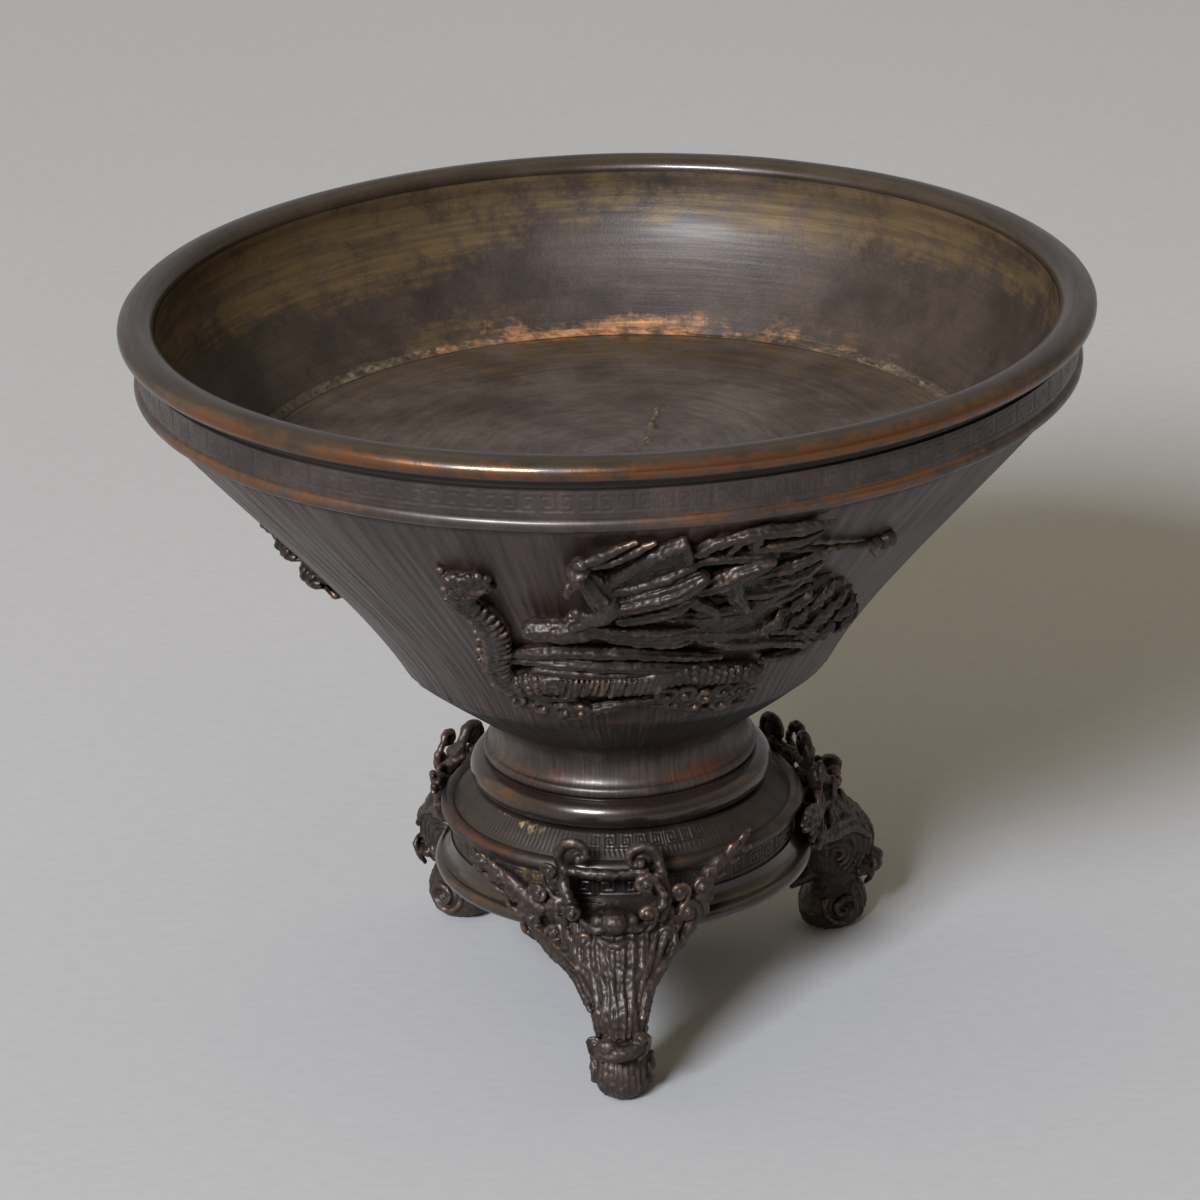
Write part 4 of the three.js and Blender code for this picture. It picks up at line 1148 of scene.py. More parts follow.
@dataclass
class BaseMouldings(Casting):
    """The foot ring, platform, fret drum and skirt ring under the neck."""

    bore: float = 39.7
    ring_hub: float = 34.6
    ring_steps: int = 360
    roof: float = 3.4
    roof_radius: float = 32.7
    roof_rise: float = 1.9
    platform_hub: float = 44.1
    platform_round: float = 2.0
    platform_keys: int = 64
    platform_steps: int = 1280
    drum_bore: float = 37.0
    drum_lip: float = 39.4
    drum_lip_rise: float = 1.6
    drum_radius: float = 43.4
    drum_keys: int = 46
    steps_per_key: int = 24
    skirt_hub: float = 46.3
    skirt_steps: int = 420

    def make(self) -> None:
        """Builds the mouldings from the top down."""
        self._foot_ring()
        self._platform()
        self._drum()
        self._skirt()

    def _turned_ring(self, node: str, section: Section, steps: int, swell: float, seed: int,
                     edge: Point) -> None:
        """Turns a ring and rubs a line along its round stretch, strongest at the left.

        Args:
            node: Node that the ring stands for.
            section: Its section.
            steps: Facets in one turn.
            swell: Height of its uneven swells in millimetres.
            seed: Start of the random sequences.
            edge: Middle and width of the rubbed line, as shares of the round stretch.
        """
        turns = all_round(steps)
        surface = section.turned(turns, swell * section.noise(turns, 30, 3, seed))
        line_share = section.on("round") * np.exp(-((section.share - edge[0]) / edge[1]) ** 2)
        hands = 0.08 + 0.42 * beside(turns, -62, 26) + 0.16 * section.noise(turns, 16, 2, seed + 1)
        surface.paint(wear=np.clip(line_share * hands, 0, 1), grime=np.zeros(1))
        self.keep(surface, node, Slot.RUBBED, RING)

    def _foot_ring(self) -> None:
        """Builds the half-round ring under the neck."""
        half = (STACK.ring_top - STACK.ring_bottom) / 2
        foot = STACK.platform_top
        section = Section()
        section.run("bore", line((STACK.tenon_bore, STACK.ring_top), (STACK.tenon_bore, foot), 3))
        section.to("seat", (self.ring_hub, foot), 3)
        section.run("round", arc((self.ring_hub, foot + half), (half, half + 0.1), -90, 90, 36))
        section.run("top", line((self.ring_hub, STACK.ring_top), (STACK.tenon_bore, STACK.ring_top), 3)[:2])
        self._turned_ring("foot_ring", section, self.ring_steps, 0.04, 51, (0.62, 0.3))

    def _platform(self) -> None:
        """Builds the domed platform: small keys beside the ring, a hatched slope and a raised edge."""
        bottom, top = STACK.platform_bottom, STACK.platform_top
        roof, bead = top - self.roof, self.platform_round
        section = Section()
        section.run("hollow", line((self.roof_radius, roof), (self.bore, bottom + self.roof_rise), 4))
        section.to("hollow", (self.bore, bottom), 2)
        section.to("seat", (self.platform_hub, bottom), 4)
        section.run("edge", arc((self.platform_hub, bottom + bead), (bead, bead), -90, 128, 24))
        section.run("slope", bezier([(42.6, bottom + 3.4), (40.6, bottom + 5.6), (37.4, top - 0.2)], 44))
        section.run("seat", line((36.4, top), (STACK.tenon_bore, top), 4))
        section.to("bore", (STACK.tenon_bore, roof), 3)
        section.close("bore", 3)
        slope, share = section.on("slope"), section.share
        turns = all_round(self.platform_steps)
        keyed = slope * smooth(0.4, 0.46, share) * beside(turns, 14, 22)
        keys = keyed * key_fret(turns * self.platform_keys, np.clip((share - 0.42) / 0.58, 0, 1))
        comb = np.cos(2 * np.pi * 210 * turns + 2.0 * section.noise(turns, 60, 2, 53))
        hatch = slope * smooth(0.04, 0.35, share) * (1 - keyed) * comb
        height = 0.17 * (keys - 0.5 * keyed) + 0.075 * hatch
        surface = section.turned(turns, height)
        edge = section.on("edge") * smooth(0.3, 0.6, share)
        rub = edge * (0.2 + 0.35 * beside(turns, -52, 24) + 0.25 * section.noise(turns, 24, 2, 54))
        # Painted shade: the crease between the raised edge and the hatched slope is darkened.
        crease_shade = section.on("edge") * smooth(0.92, 1.0, share)
        speck = beside(turns, -40, 12) * slope * smooth(0.45, 0.85, share)
        surface.paint(
            wear=np.clip(rub + 0.8 * height, 0, 1),
            grime=np.clip(-3.2 * height + 0.5 * crease_shade, 0, 0.8),
            brass=0.6 * speck * (0.5 + section.noise(turns, 260, 9, 55)),
            red=edge * (0.15 + 0.5 * beside(turns, -52, 26)))
        self.keep(surface, "platform", Slot.CAST, BASE)

    def _drum(self) -> None:
        """Builds the recessed drum with its band of keys above the skirt's cove."""
        bottom, top, lip = STACK.drum_bottom, STACK.drum_top, self.drum_lip
        low, high = bottom - self.drum_lip_rise, top + self.drum_lip_rise
        section = Section()
        section.run("bore", line((self.drum_bore, high), (self.drum_bore, low), 8))
        section.to("lip", (lip, low), 3)
        section.to("lip", (lip, bottom), 3)
        section.to("seat", (self.drum_radius, bottom), 3)
        section.to("plain", (self.drum_radius, STACK.cove_top), 3)
        section.to("band", (self.drum_radius, top), 34)
        section.to("seat", (lip, top), 3)
        section.to("lip", (lip, high), 3)
        section.close("lip", 3)
        band, share = section.on("band"), section.share
        ground = band * smooth(0.02, 0.1, share) * smooth(0.98, 0.9, share)
        turns = all_round(self.drum_keys * self.steps_per_key)
        fret = ground * key_fret(turns * self.drum_keys, np.clip((share - 0.08) / 0.78, 0, 1))
        surface = section.turned(turns, 0.28 * (fret - 0.9 * ground))
        surface.paint(wear=0.22 * fret, grime=0.55 * (ground - fret),
                      brass=0.5 * band * beside(turns, -29, 7), red=0.1 * fret)
        self.keep(surface, "fret_drum", Slot.CAST, BASE)

    def _skirt(self) -> None:
        """Builds the skirt ring: a round edge below a cove that climbs the drum."""
        bottom, top = STACK.skirt_bottom, STACK.skirt_top
        half = (top - bottom) / 2
        inner = self.drum_radius + 0.05
        section = Section()
        section.run("bore", line((self.bore, top), (self.bore, bottom), 3))
        section.to("under", (self.skirt_hub, bottom), 4)
        section.run("round", arc((self.skirt_hub, bottom + half), (half, half), -90, 76, 26))
        cove = [section.points[-1], (inner + 1.0, top - 0.1), (inner + 0.5, STACK.cove_top)]
        section.run("cove", bezier(cove, 18))
        section.run("rest", line((inner, STACK.cove_top), (inner, top), 4))
        section.close("top", 4)
        self._turned_ring("skirt_ring", section, self.skirt_steps, 0.05, 55, (0.72, 0.26))


@dataclass
class ScrollLeg(Casting):
    """A leg with an open crest, a beast's mask, a fall of hair, curled locks and a round foot."""

    azimuths: tuple[tuple[str, float], ...] = (("front", 0.0), ("right", 121.0), ("left", -134.0))
    voxel: float = 0.29
    trunk: tuple[tuple[float, float, float, float], ...] = (
        (0.0, 57.4, 67.4, 4.6), (1.8, 54.2, 70.4, 6.4), (5.6, 52.8, 72.2, 7.1), (9.6, 54.0, 71.0, 6.6),
        (13.0, 56.4, 69.4, 5.2), (17.6, 54.6, 73.2, 5.8), (21.5, 54.0, 74.6, 6.2), (26.0, 52.6, 73.4, 7.0),
        (31.0, 50.0, 70.2, 8.8), (35.2, 46.8, 66.0, 12.0), (39.1, 44.4, 62.4, 15.4), (42.6, 43.9, 59.0, 16.6),
    )

    clay: Clay = field(default_factory=Clay, init=False)

    def make(self) -> None:
        """Models one leg and sets a copy of it at each place."""
        self._trunk()
        self._crest()
        self._mask()
        self._hair()
        self._locks()
        self._tendrils()
        self._flanks()
        self._foot()
        surface = self.clay.fused(self.voxel)
        surface.hammer(amount=0.2, size=1.1, seed=81)
        surface.hammer(amount=0.22, size=3.0, seed=82)
        surface.points[:, 2] = np.maximum(surface.points[:, 2], 0.0)
        surface.paint_hollows(reach=9, gain=2.4, soil=0.2)
        for place, azimuth in self.azimuths:
            self.keep(surface.turned_by(azimuth), f"leg_{place}", Slot.LEG, LEAF)

    def at(self, stops: Sequence[Triple]) -> np.ndarray:
        """Points from their places along the base, out from the axis and up."""
        side, reach, level = np.asarray(stops, float).T
        return np.stack([reach * np.sin(side / reach), -reach * np.cos(side / reach), level], 1)

    def bar(self, stops: Sequence[Triple], radii: Sequence[float], **form: float) -> None:
        """Adds a bar through places on the leg."""
        self.clay.bar(self.at(stops), radii, **form)

    def boss(self, place: Triple, half: Sequence[float], sides: int = 12) -> None:
        """Adds an ellipsoid at a place, with its half sizes across, in depth and up."""
        self.clay.ball(self.at([place])[0], np.diag(half), sides)

    def _oval(self, level: float) -> Triple:
        """Measures the trunk.

        Args:
            level: Height of the cut.

        Returns:
            Its middle reach, half depth and half width there.
        """
        table = np.asarray(self.trunk)
        near, far, half = (float(np.interp(level, table[:, 0], table[:, k])) for k in (1, 2, 3))
        return (near + far) / 2, (far - near) / 2, half

    def on_face(self, stops: Sequence[Point], lift: float) -> np.ndarray:
        """Places points on the trunk's outer face.

        Args:
            stops: Sideways places and heights.
            lift: How far they stand off the face.

        Returns:
            The points.
        """
        places = []
        for side, level in stops:
            middle, deep, half = self._oval(level)
            places.append((side, middle + deep * math.sqrt(max(1 - (side / half) ** 2, 0.02)) + lift, level))
        return self.at(places)

    def on_flank(self, stops: Sequence[Point], hand: int, lift: float) -> np.ndarray:
        """Places points on one flank of the trunk.

        Args:
            stops: Reaches from the axis and heights.
            hand: -1 for the left flank, 1 for the right.
            lift: How far they stand off the flank.

        Returns:
            The points.
        """
        places = []
        for reach, level in stops:
            middle, deep, half = self._oval(level)
            side = half * math.sqrt(max(1 - ((reach - middle) / deep) ** 2, 0.05))
            places.append((hand * (side + lift), reach, level))
        return self.at(places)

    def _trunk(self) -> None:
        """Adds the body of the leg."""
        turn = 2 * np.pi * np.arange(40) / 40
        rings = []
        for level in np.linspace(0, self.trunk[-1][0], 70):
            middle, deep, half = self._oval(level)
            places = np.stack([half * np.cos(turn), middle + deep * np.sin(turn), np.full(40, level)], 1)
            rings.append(self.at(places))
        self.clay.skin(np.asarray(rings))

    def _curl(self, place: Triple, radius: float, hand: int, stem: Sequence[Triple] = ()) -> None:
        """Adds a curl that rises on one side and winds inwards over its top.

        Args:
            place: Its centre along the base, out from the axis and up.
            radius: Outer radius.
            hand: -1 to rise on the left side, 1 on the right.
            stem: Places that its stem comes from.
        """
        side, reach, level = place
        if not stem:
            stem = ((side * 0.7, reach - 1.0, level - 2.4 * radius),
                    (side + 0.5 * hand * radius, reach - 0.4, level - 1.5 * radius))
        share = np.linspace(0, 1, 18)
        angle = math.pi / 2 - hand * math.pi / 2 + hand * 2 * np.pi * 1.25 * share
        wide = radius * (0.78 - 0.6 * share)
        stops = [(side + w * math.cos(a), reach + 0.45 * radius * t, level + w * math.sin(a))
                 for a, w, t in zip(angle, wide, share)]
        thick = [0.3 * radius, 0.34 * radius, 0.31 * radius, 0.24 * radius]
        self.bar([*stem, *stops], thick, sides=8, step=0.45)
        self.boss((side, reach + 0.5 * radius, level), 3 * [0.22 * radius], 8)

    def _crest(self) -> None:
        """Adds the crest's bar with its two open volutes and the scrolls beside them."""
        self.bar([(-11.4, 49.4, 53.0), (-3.0, 49.9, 52.5), (6.6, 49.5, 52.7)], [1.5, 1.45, 1.5])
        left = [(-8.8, 49.5, 52.8), (-13.2, 49.4, 53.4), (-14.8, 49.3, 56.6), (-13.4, 49.2, 59.8),
                (-10.6, 49.2, 60.7), (-8.2, 49.3, 59.2), (-8.0, 49.6, 57.2), (-9.6, 49.9, 56.6)]
        right = [(10.4, 53.0, 49.0), (10.8, 50.6, 52.6), (10.0, 49.5, 56.4), (7.6, 49.2, 59.3),
                 (4.4, 49.2, 59.0), (2.7, 49.4, 56.8), (4.0, 49.7, 54.9), (5.6, 50.0, 55.6)]
        for stops in (left, right):
            self.bar(stops, [1.5, 1.45, 1.35, 1.25, 1.1, 0.95], step=0.4)
            self.boss(stops[-1], 3 * [1.3], 8)
        self._curl((-17.4, 51.6, 53.4), 2.4, -1, ((-14.6, 52.0, 44.6), (-18.6, 51.6, 49.6)))
        self._curl((7.0, 57.2, 53.2), 3.1, 1, ((8.2, 59.6, 44.6), (11.4, 58.2, 49.0)))
        for place, half in (((-11.0, 48.6, 57.4), (3.0, 0.7, 2.6)), ((6.4, 48.6, 57.0), (3.0, 0.7, 2.4)),
                            ((-15.4, 50.4, 50.4), (2.4, 1.2, 3.4)), ((9.6, 52.4, 50.6), (2.0, 1.5, 3.2))):
            self.boss(place, half, 10)
        self.bar([(-13.0, 49.2, 53.6), (-13.6, 52.4, 50.4), (-11.4, 55.4, 46.6)], [1.4, 1.7, 1.6])
        self.bar([(10.4, 50.0, 52.0), (11.6, 54.0, 48.0), (10.2, 57.0, 43.6)], [1.6, 2.0, 1.8])

    def _mask(self) -> None:
        """Adds the beast's nose, cheeks, whiskers and lower lip."""
        self.boss((-0.7, 57.2, 43.2), (6.4, 5.2, 3.4))
        self.boss((-0.7, 62.2, 45.4), (3.5, 3.0, 3.0))
        for hand in (-1, 1):
            self.boss((-0.7 + hand * 4.0, 60.8, 45.3), (1.9, 1.8, 1.8))
            whisker = [(-0.7 + hand * 2.2, 62.2, 43.8), (-0.7 + hand * 5.4, 61.2, 43.0),
                       (-0.7 + hand * 8.2, 59.6, 44.4)]
            self.bar(whisker, [1.0, 1.25, 0.8])
        self.bar([(-4.4, 61.2, 40.2), (-0.7, 63.0, 39.4), (3.0, 61.2, 40.2)], [0.8, 1.1, 0.8])

    def _hair(self) -> None:
        """Adds the fall of fine hair from the mask down to the ankle."""
        count = 22
        for i in range(count):
            share = i / (count - 1)
            top, low = -11.0 + 18.0 * share, -6.4 + 11.2 * share
            wave = 0.3 * math.sin(2.4 * i)
            level = 40.6 + 0.03 * (top + 2) ** 2
            stops = [(top, level), (0.9 * top + 0.1 * low + wave, 36.5), (0.6 * top + 0.4 * low - wave, 32.0),
                     (0.25 * top + 0.75 * low + wave, 26.5), (0.86 * low, 20.0)]
            lift = 0.4 * math.sin(1.9 * i + 0.6) + 0.2
            self.clay.bar(self.on_face(stops, lift), [0.5, 0.7, 0.66, 0.55, 0.4], sides=8)
        for hand, start in ((-1, -12.6), (-1, -15.0), (1, 9.2), (1, 11.8), (1, 14.2)):
            stops = [(start, 40.6), (0.84 * start, 36.0), (0.62 * start, 31.4), (0.5 * start, 25.4),
                     (hand * 5.4, 20.2)]
            self.clay.bar(self.on_face(stops, 0.3), [0.8, 1.15, 1.05, 0.8, 0.5], sides=8)

    def _locks(self) -> None:
        """Adds the curled locks over the shoulders of the leg."""
        lone = [((-27.2, 48.8, 44.4), 3.1, -1), ((-22.6, 50.2, 39.4), 3.0, -1),
                ((-11.2, 57.0, 45.2), 2.6, -1), ((-16.0, 54.4, 38.2), 2.7, -1),
                ((-8.4, 60.6, 39.4), 2.4, -1), ((-20.4, 50.2, 46.4), 2.8, -1),
                ((7.4, 60.6, 46.8), 2.5, 1), ((15.4, 53.4, 48.2), 2.6, 1),
                ((-32.3, 48.8, 48.0), 2.8, -1), ((-38.0, 48.5, 50.2), 2.4, -1)]
        for place, radius, hand in lone:
            self._curl(place, radius, hand)
        self._curl((11.5, 58.2, 39.6), 2.8, 1, ((5.6, 71.0, 26.6), (8.2, 67.0, 31.4), (13.6, 60.4, 36.6)))
        self._curl((17.4, 52.8, 42.6), 3.3, 1, ((13.4, 55.6, 34.4), (18.6, 52.0, 37.4)))
        self._curl((21.2, 50.4, 47.4), 3.0, 1, ((17.0, 52.0, 40.0), (22.8, 50.2, 43.2)))
        side_locks = [
            [(-22.0, 50.0, 35.4), (-16.4, 56.0, 33.4), (-10.7, 63.2, 31.0), (-7.4, 70.2, 25.6)],
            [(-25.4, 49.0, 40.6), (-20.6, 51.0, 36.6), (-14.6, 57.2, 35.2), (-10.2, 63.8, 33.6)],
            [(15.2, 56.0, 37.3), (10.8, 62.0, 33.6), (7.2, 68.4, 29.6), (5.6, 72.0, 24.4)],
            [(20.4, 50.6, 41.8), (16.4, 54.0, 37.0), (12.0, 59.6, 34.0)],
        ]
        for stops in side_locks:
            self.bar(stops, [1.1, 1.5, 1.35, 0.8], grooves=5)
        for place, half in (((-20.0, 48.4, 41.0), (6.4, 1.7, 4.8)), ((-14.0, 51.0, 43.0), (4.6, 2.0, 4.6)),
                            ((16.6, 49.8, 41.8), (6.0, 1.8, 5.0)), ((10.6, 53.8, 43.4), (3.4, 2.0, 4.2))):
            self.boss(place, half)

    def _tendrils(self) -> None:
        """Adds the leafy tendrils that run along the platform's edge."""
        right = [(20.2, 50.0, 44.4), (23.7, 49.2, 50.6), (28.0, 48.4, 53.2), (32.0, 47.6, 54.8),
                 (35.0, 46.9, 56.0)]
        left = [(-20.0, 49.6, 42.4), (-26.0, 49.0, 46.0), (-32.0, 48.6, 48.6), (-37.4, 48.4, 49.6),
                (-41.6, 48.2, 49.4)]
        for stops, lean in ((right, 1.0), (left, -1.0)):
            self.bar(stops, [2.5, 2.1, 1.7, 1.4, 0.7])
            for k in (1, 2, 3):
                side, reach, level = stops[k]
                for rise in (-1.0, 1.0):
                    leaf = [(side, reach, level), (side + lean * 1.6, reach + 0.7, level + 1.8 * rise),
                            (side + lean * 3.6, reach + 0.5, level + 2.3 * rise + 0.5)]
                    self.bar(leaf, [1.1, 1.0, 0.5])

    def _flanks(self) -> None:
        """Adds the fine arcs of hair round each flank of the knee and the tuft behind it."""
        for hand in (-1, 1):
            for k in range(7):
                wide = 1.6 + 1.75 * k
                angles = np.radians(np.linspace(150 - 4 * k, -75 + 6 * k, 12))
                stops = [(60.5 + wide * math.cos(a), 22.5 + 1.05 * wide * math.sin(a)) for a in angles]
                self.clay.bar(self.on_flank(stops, hand, 0.3), [0.6, 0.95, 0.95, 0.5], sides=8, step=0.5)
            for k in range(4):
                stops = [(50.6 + 1.5 * k, 36.0 - 0.4 * k), (52.8 + 1.2 * k, 30.0 - 0.4 * k),
                         (55.0 + 0.8 * k, 24.0), (55.6 + 0.8 * k, 17.6)]
                self.clay.bar(self.on_flank(stops, hand, 0.3), [0.7, 1.0, 0.9, 0.5], sides=8)
        self.bar([(0, 56.0, 16.5), (0, 52.4, 14.6), (0, 50.4, 13.4)], [2.4, 1.8, 0.9])

    def _foot(self) -> None:
        """Adds the cuff at the ankle with its curls and the shallow grooves of the foot."""
        cuff = [(-6.0, 67.5, 15.6), (-4.6, 72.6, 15.8), (-0.8, 74.2, 15.4), (3.4, 73.0, 16.4),
                (5.8, 68.5, 17.2)]
        self.bar(cuff, [1.5, 2.2, 2.2, 1.9, 1.4])
        self.boss((-3.0, 73.6, 17.6), (2.7, 2.4, 2.5))
        self._curl((-6.2, 71.4, 17.0), 2.3, -1, ((-5.2, 70.0, 11.8), (-7.4, 70.6, 14.2)))
        self._curl((5.0, 72.4, 18.8), 2.4, 1, ((4.6, 71.4, 13.0), (6.6, 71.4, 16.0)))
        for i in range(9):
            side = -5.2 + 1.3 * i
            stops = [(0.8 * side, 13.0), (0.95 * side, 8.6), (0.95 * side, 4.6), (0.72 * side, 1.6)]
            self.clay.bar(self.on_face(stops, -0.45), [0.6, 0.85, 0.85, 0.6], sides=8)
        for hand in (-1, 1):
            whorl = []
            for part in np.linspace(0, 1, 30):
                angle = math.radians(150) + 2 * np.pi * 1.5 * part
                wide = 5.4 - 4.6 * part
                whorl.append((62.0 + wide * math.cos(angle), 6.8 + 0.9 * wide * math.sin(angle)))
            self.clay.bar(self.on_flank(whorl, hand, 0.35), [0.7, 1.05, 1.0, 0.8], sides=8, step=0.5)


@dataclass
class ReliefPanel(Casting):
    """A panel of relief: a scaly beast, its robed rider and the waves and foliage round them."""

    azimuths: tuple[tuple[str, float], ...] = (("front", 0.0), ("right", 118.0), ("left", -124.0))
    voxel: float = 0.27
    shift: float = field(default=0.0, init=False)
    clay: Clay = field(default_factory=Clay, init=False)

    def make(self) -> None:
        """Models the three castings of a panel and sets a copy at each place."""
        for subject, model in (("beast", self._beast), ("rider", self._rider), ("waves", self._waves)):
            self.clay = Clay()
            model()
            surface = self.clay.fused(self.voxel)
            self._sink(surface)
            surface.hammer(amount=0.2, size=1.0, seed=91)
            surface.hammer(amount=0.24, size=2.6, seed=92)
            surface.paint_hollows(reach=8, gain=2.6, soil=0.26)
            for place, azimuth in self.azimuths:
                self.keep(surface.turned_by(azimuth), f"relief_{subject}_{place}", Slot.RELIEF, LEAF)

    def _sink(self, surface: Surface) -> None:
        """Lifts points that lie deep inside the wall to just under its face.

        Args:
            surface: Surface whose points are moved.
        """
        outline = np.vstack([STACK.under(12), STACK.wall(60)[1:]])
        radius = np.hypot(surface.points[:, 0], surface.points[:, 1])
        floor = np.interp(surface.points[:, 2], outline[:, 1], outline[:, 0]) - 0.9
        grow = np.maximum(floor / radius, 1.0)
        surface.points[:, :2] *= grow[:, None]

    def at(self, stops: Sequence[tuple[float, ...]], lift: float = 0.0) -> tuple[np.ndarray, np.ndarray]:
        """Places on the wall from azimuth, share of the wall's rise and height off the wall.

        The shares are moved up by the panel's shift, because a form that stands off the wall is seen
        lower down.

        Args:
            stops: Azimuth in degrees, share, and a height in millimetres that may be left out.
            lift: Height of the stops that give none.

        Returns:
            The points and the wall's outward directions there.
        """
        outline = STACK.wall(200)
        stops = [(*stop, lift) if len(stop) == 2 else stop for stop in stops]
        azimuth, share, rise = np.asarray(stops, float).T
        level = STACK.belly + (share + self.shift) * (STACK.wall_top - STACK.belly)
        radius = np.interp(level, outline[:, 1], outline[:, 0])
        slope = np.interp(level, outline[:, 1], np.gradient(outline[:, 0]) / np.gradient(outline[:, 1]))
        size = np.hypot(1.0, slope)
        angle = np.radians(azimuth)
        out = np.stack([np.sin(angle) / size, -np.cos(angle) / size, -slope / size], 1)
        foot = np.stack([radius * np.sin(angle), -radius * np.cos(angle), level], 1)
        return foot + out * rise[:, None], out

    def bar(self, stops: Sequence[tuple[float, ...]], radii: Sequence[float], lift: float = 1.0,
            grooves: int = 0) -> None:
        """Adds a bar along the wall, grooved lengthways or plain."""
        points, out = self.at(stops, lift)
        self.clay.bar(points, radii, out, step=0.6, grooves=grooves)

    def pad(self, stop: Triple, half: Triple, lean: float = 0.0) -> None:
        """Adds a cushion.

        Args:
            stop: Azimuth in degrees, share and height of its middle.
            half: Half sizes along, up and out of the wall.
            lean: Degrees that it leans by.
        """
        points, out = self.at([stop])
        angle, tilt = math.radians(stop[0]), math.radians(lean)
        level = np.array([math.cos(angle), math.sin(angle), 0.0])
        rise = np.cross(out[0], level)
        along = math.cos(tilt) * level + math.sin(tilt) * rise
        up = -math.sin(tilt) * level + math.cos(tilt) * rise
        self.clay.ball(points[0], np.stack([along * half[0], up * half[1], out[0] * half[2]]), 16)

    def sheet(self, low: Sequence[Point], high: Sequence[Point], count: int, radius: float,
              lift: float) -> None:
        """Fills the field between two strokes with lying folds.

        Args:
            low: Stroke along one edge.
            high: Stroke along the other edge, with as many stops.
            count: Number of folds.
            radius: Half the width of a fold.
            lift: Height of the folds off the wall.
        """
        first, last = np.asarray(low, float), np.asarray(high, float)
        for share in np.linspace(0, 1, count):
            stops = [tuple(stop) for stop in first + share * (last - first)]
            self.bar(stops, [radius, radius, 0.7 * radius], lift, 6)

    def _beast(self) -> None:
        """Adds the plumed tail, the ribbed body, the swells along it, the neck and the head."""
        self.shift = 0.0
        tail = [(-16.9, 0.772), (-19.7, 0.704), (-20.0, 0.65), (-18.4, 0.59), (-18.3, 0.507), (-19.4, 0.42),
                (-21.2, 0.33), (-21.0, 0.257), (-17.6, 0.21)]
        self.bar(tail, [2.0, 2.6, 2.9, 3.2, 3.5, 3.5, 3.5, 3.4, 3.4], 0.9)
        self._plumes(tail)
        self.pad((-18.6, 0.75, 1.0), (6.0, 4.2, 2.6), 0)
        rng = np.random.default_rng(61)
        for azimuth, share in zip(rng.uniform(-21.8, -15.2, 46), rng.uniform(-0.042, 0.036, 46)):
            high = 3.4 - 0.16 * (azimuth + 18.6) ** 2 - 900 * share**2
            self.pad((azimuth, 0.752 + share, high), (1.05, 1.25, 0.95), rng.uniform(20, 70))
        self.shift = 0.07
        body = [(-20.0, 0.18), (-15.0, 0.19), (-10.9, 0.192), (-3.0, 0.184), (5.0, 0.19), (10.3, 0.207),
                (16.0, 0.212), (21.4, 0.192), (27.6, 0.172), (32.0, 0.145)]
        self.bar(body, [3.2, 3.5, 3.6, 3.7, 3.7, 3.5, 3.2, 3.0, 2.6, 1.6], 1.3)
        self._scales(body[:3], 3.4, 1.4)
        self._scales(body[5:], 3.0, 1.4)
        for place in np.linspace(-10.0, 9.4, 20):
            lean, rise = rng.uniform(-0.35, 0.35), rng.uniform(-0.5, 0.2)
            rib = [(place - 1.1, 0.15, 2.0), (place + lean, 0.185, 5.2 + rise), (place + 0.9, 0.226, 3.8)]
            self.bar(rib, [0.5, 0.62 + 0.3 * lean, 0.42])
        self.shift = 0.05
        logs = ([(-18.9, 0.339), (-13.2, 0.353), (-7.1, 0.37), (2.5, 0.36), (11.9, 0.329), (21.2, 0.285)],
                [(-18.9, 0.306), (-9.5, 0.309), (-2.4, 0.296), (8.6, 0.276), (18.6, 0.24)],
                [(-14.0, 0.262), (-6.0, 0.262), (2.0, 0.252), (10.0, 0.246)])
        for stops in logs:
            self.bar(stops, [1.0, 1.7, 1.8, 1.8, 1.6, 0.9], 1.6, 6)
        self.shift = 0.065
        neck = [(-4.2, 0.522), (-1.6, 0.514), (1.6, 0.502), (6.6, 0.478), (13.6, 0.45)]
        self.bar(neck, [3.0, 3.3, 3.5, 3.3, 2.4], 2.2, 9)
        for k in range(4):
            lower = 0.022 * k
            mane = [(-2.0 + 0.8 * k, 0.545 - lower, 4.8), (3.0 + 0.8 * k, 0.527 - lower, 5.2),
                    (8.4 + 0.9 * k, 0.498 - lower, 4.6), (14.0, 0.475 - lower, 3.0)]
            self.bar(mane, [0.7, 1.1, 1.0, 0.5])
        self._head()

    def frames(self, stops: Sequence[Point], lift: float, pitch: float) -> list[tuple[np.ndarray, ...]]:
        """Measures off even places along a bar on the wall.

        Args:
            stops: Stops of the bar.
            lift: Height of the bar off the wall.
            pitch: Distance between places in millimetres.

        Returns:
            The point and the directions along, sideways and outwards at each place but the ends.
        """
        points, out = self.at(stops, lift)
        length = np.linalg.norm(np.diff(points, axis=0), axis=1).sum()
        place = np.linspace(0, len(points) - 1, int(length / pitch))
        centre, normal = spline(points, place), spline(out, place)
        tangent = unit(np.gradient(centre, axis=0))
        return list(zip(centre, tangent, np.cross(tangent, normal), normal))[1:-1]

    def _plumes(self, stops: Sequence[Point]) -> None:
        """Adds two rows of slanted plumes along the tail, and spines on one side.

        Args:
            stops: Stops of the tail.
        """
        for i, (centre, tangent, side, normal) in enumerate(self.frames(stops, 1.0, 2.1)):
            for hand in (-1, 1):
                slant = unit(hand * side - 0.55 * tangent)
                axes = [slant * 2.4 - normal * 0.5, np.cross(normal, slant), normal * 1.25]
                self.clay.ball(centre + slant * 2.1 + normal * 2.2, np.stack(axes), 10)
            if i % 2 == 0:
                axes = [side * 1.1, tangent * 0.6, normal * 1.1]
                self.clay.ball(centre + side * 4.1 + normal * 1.4, np.stack(axes), 8)

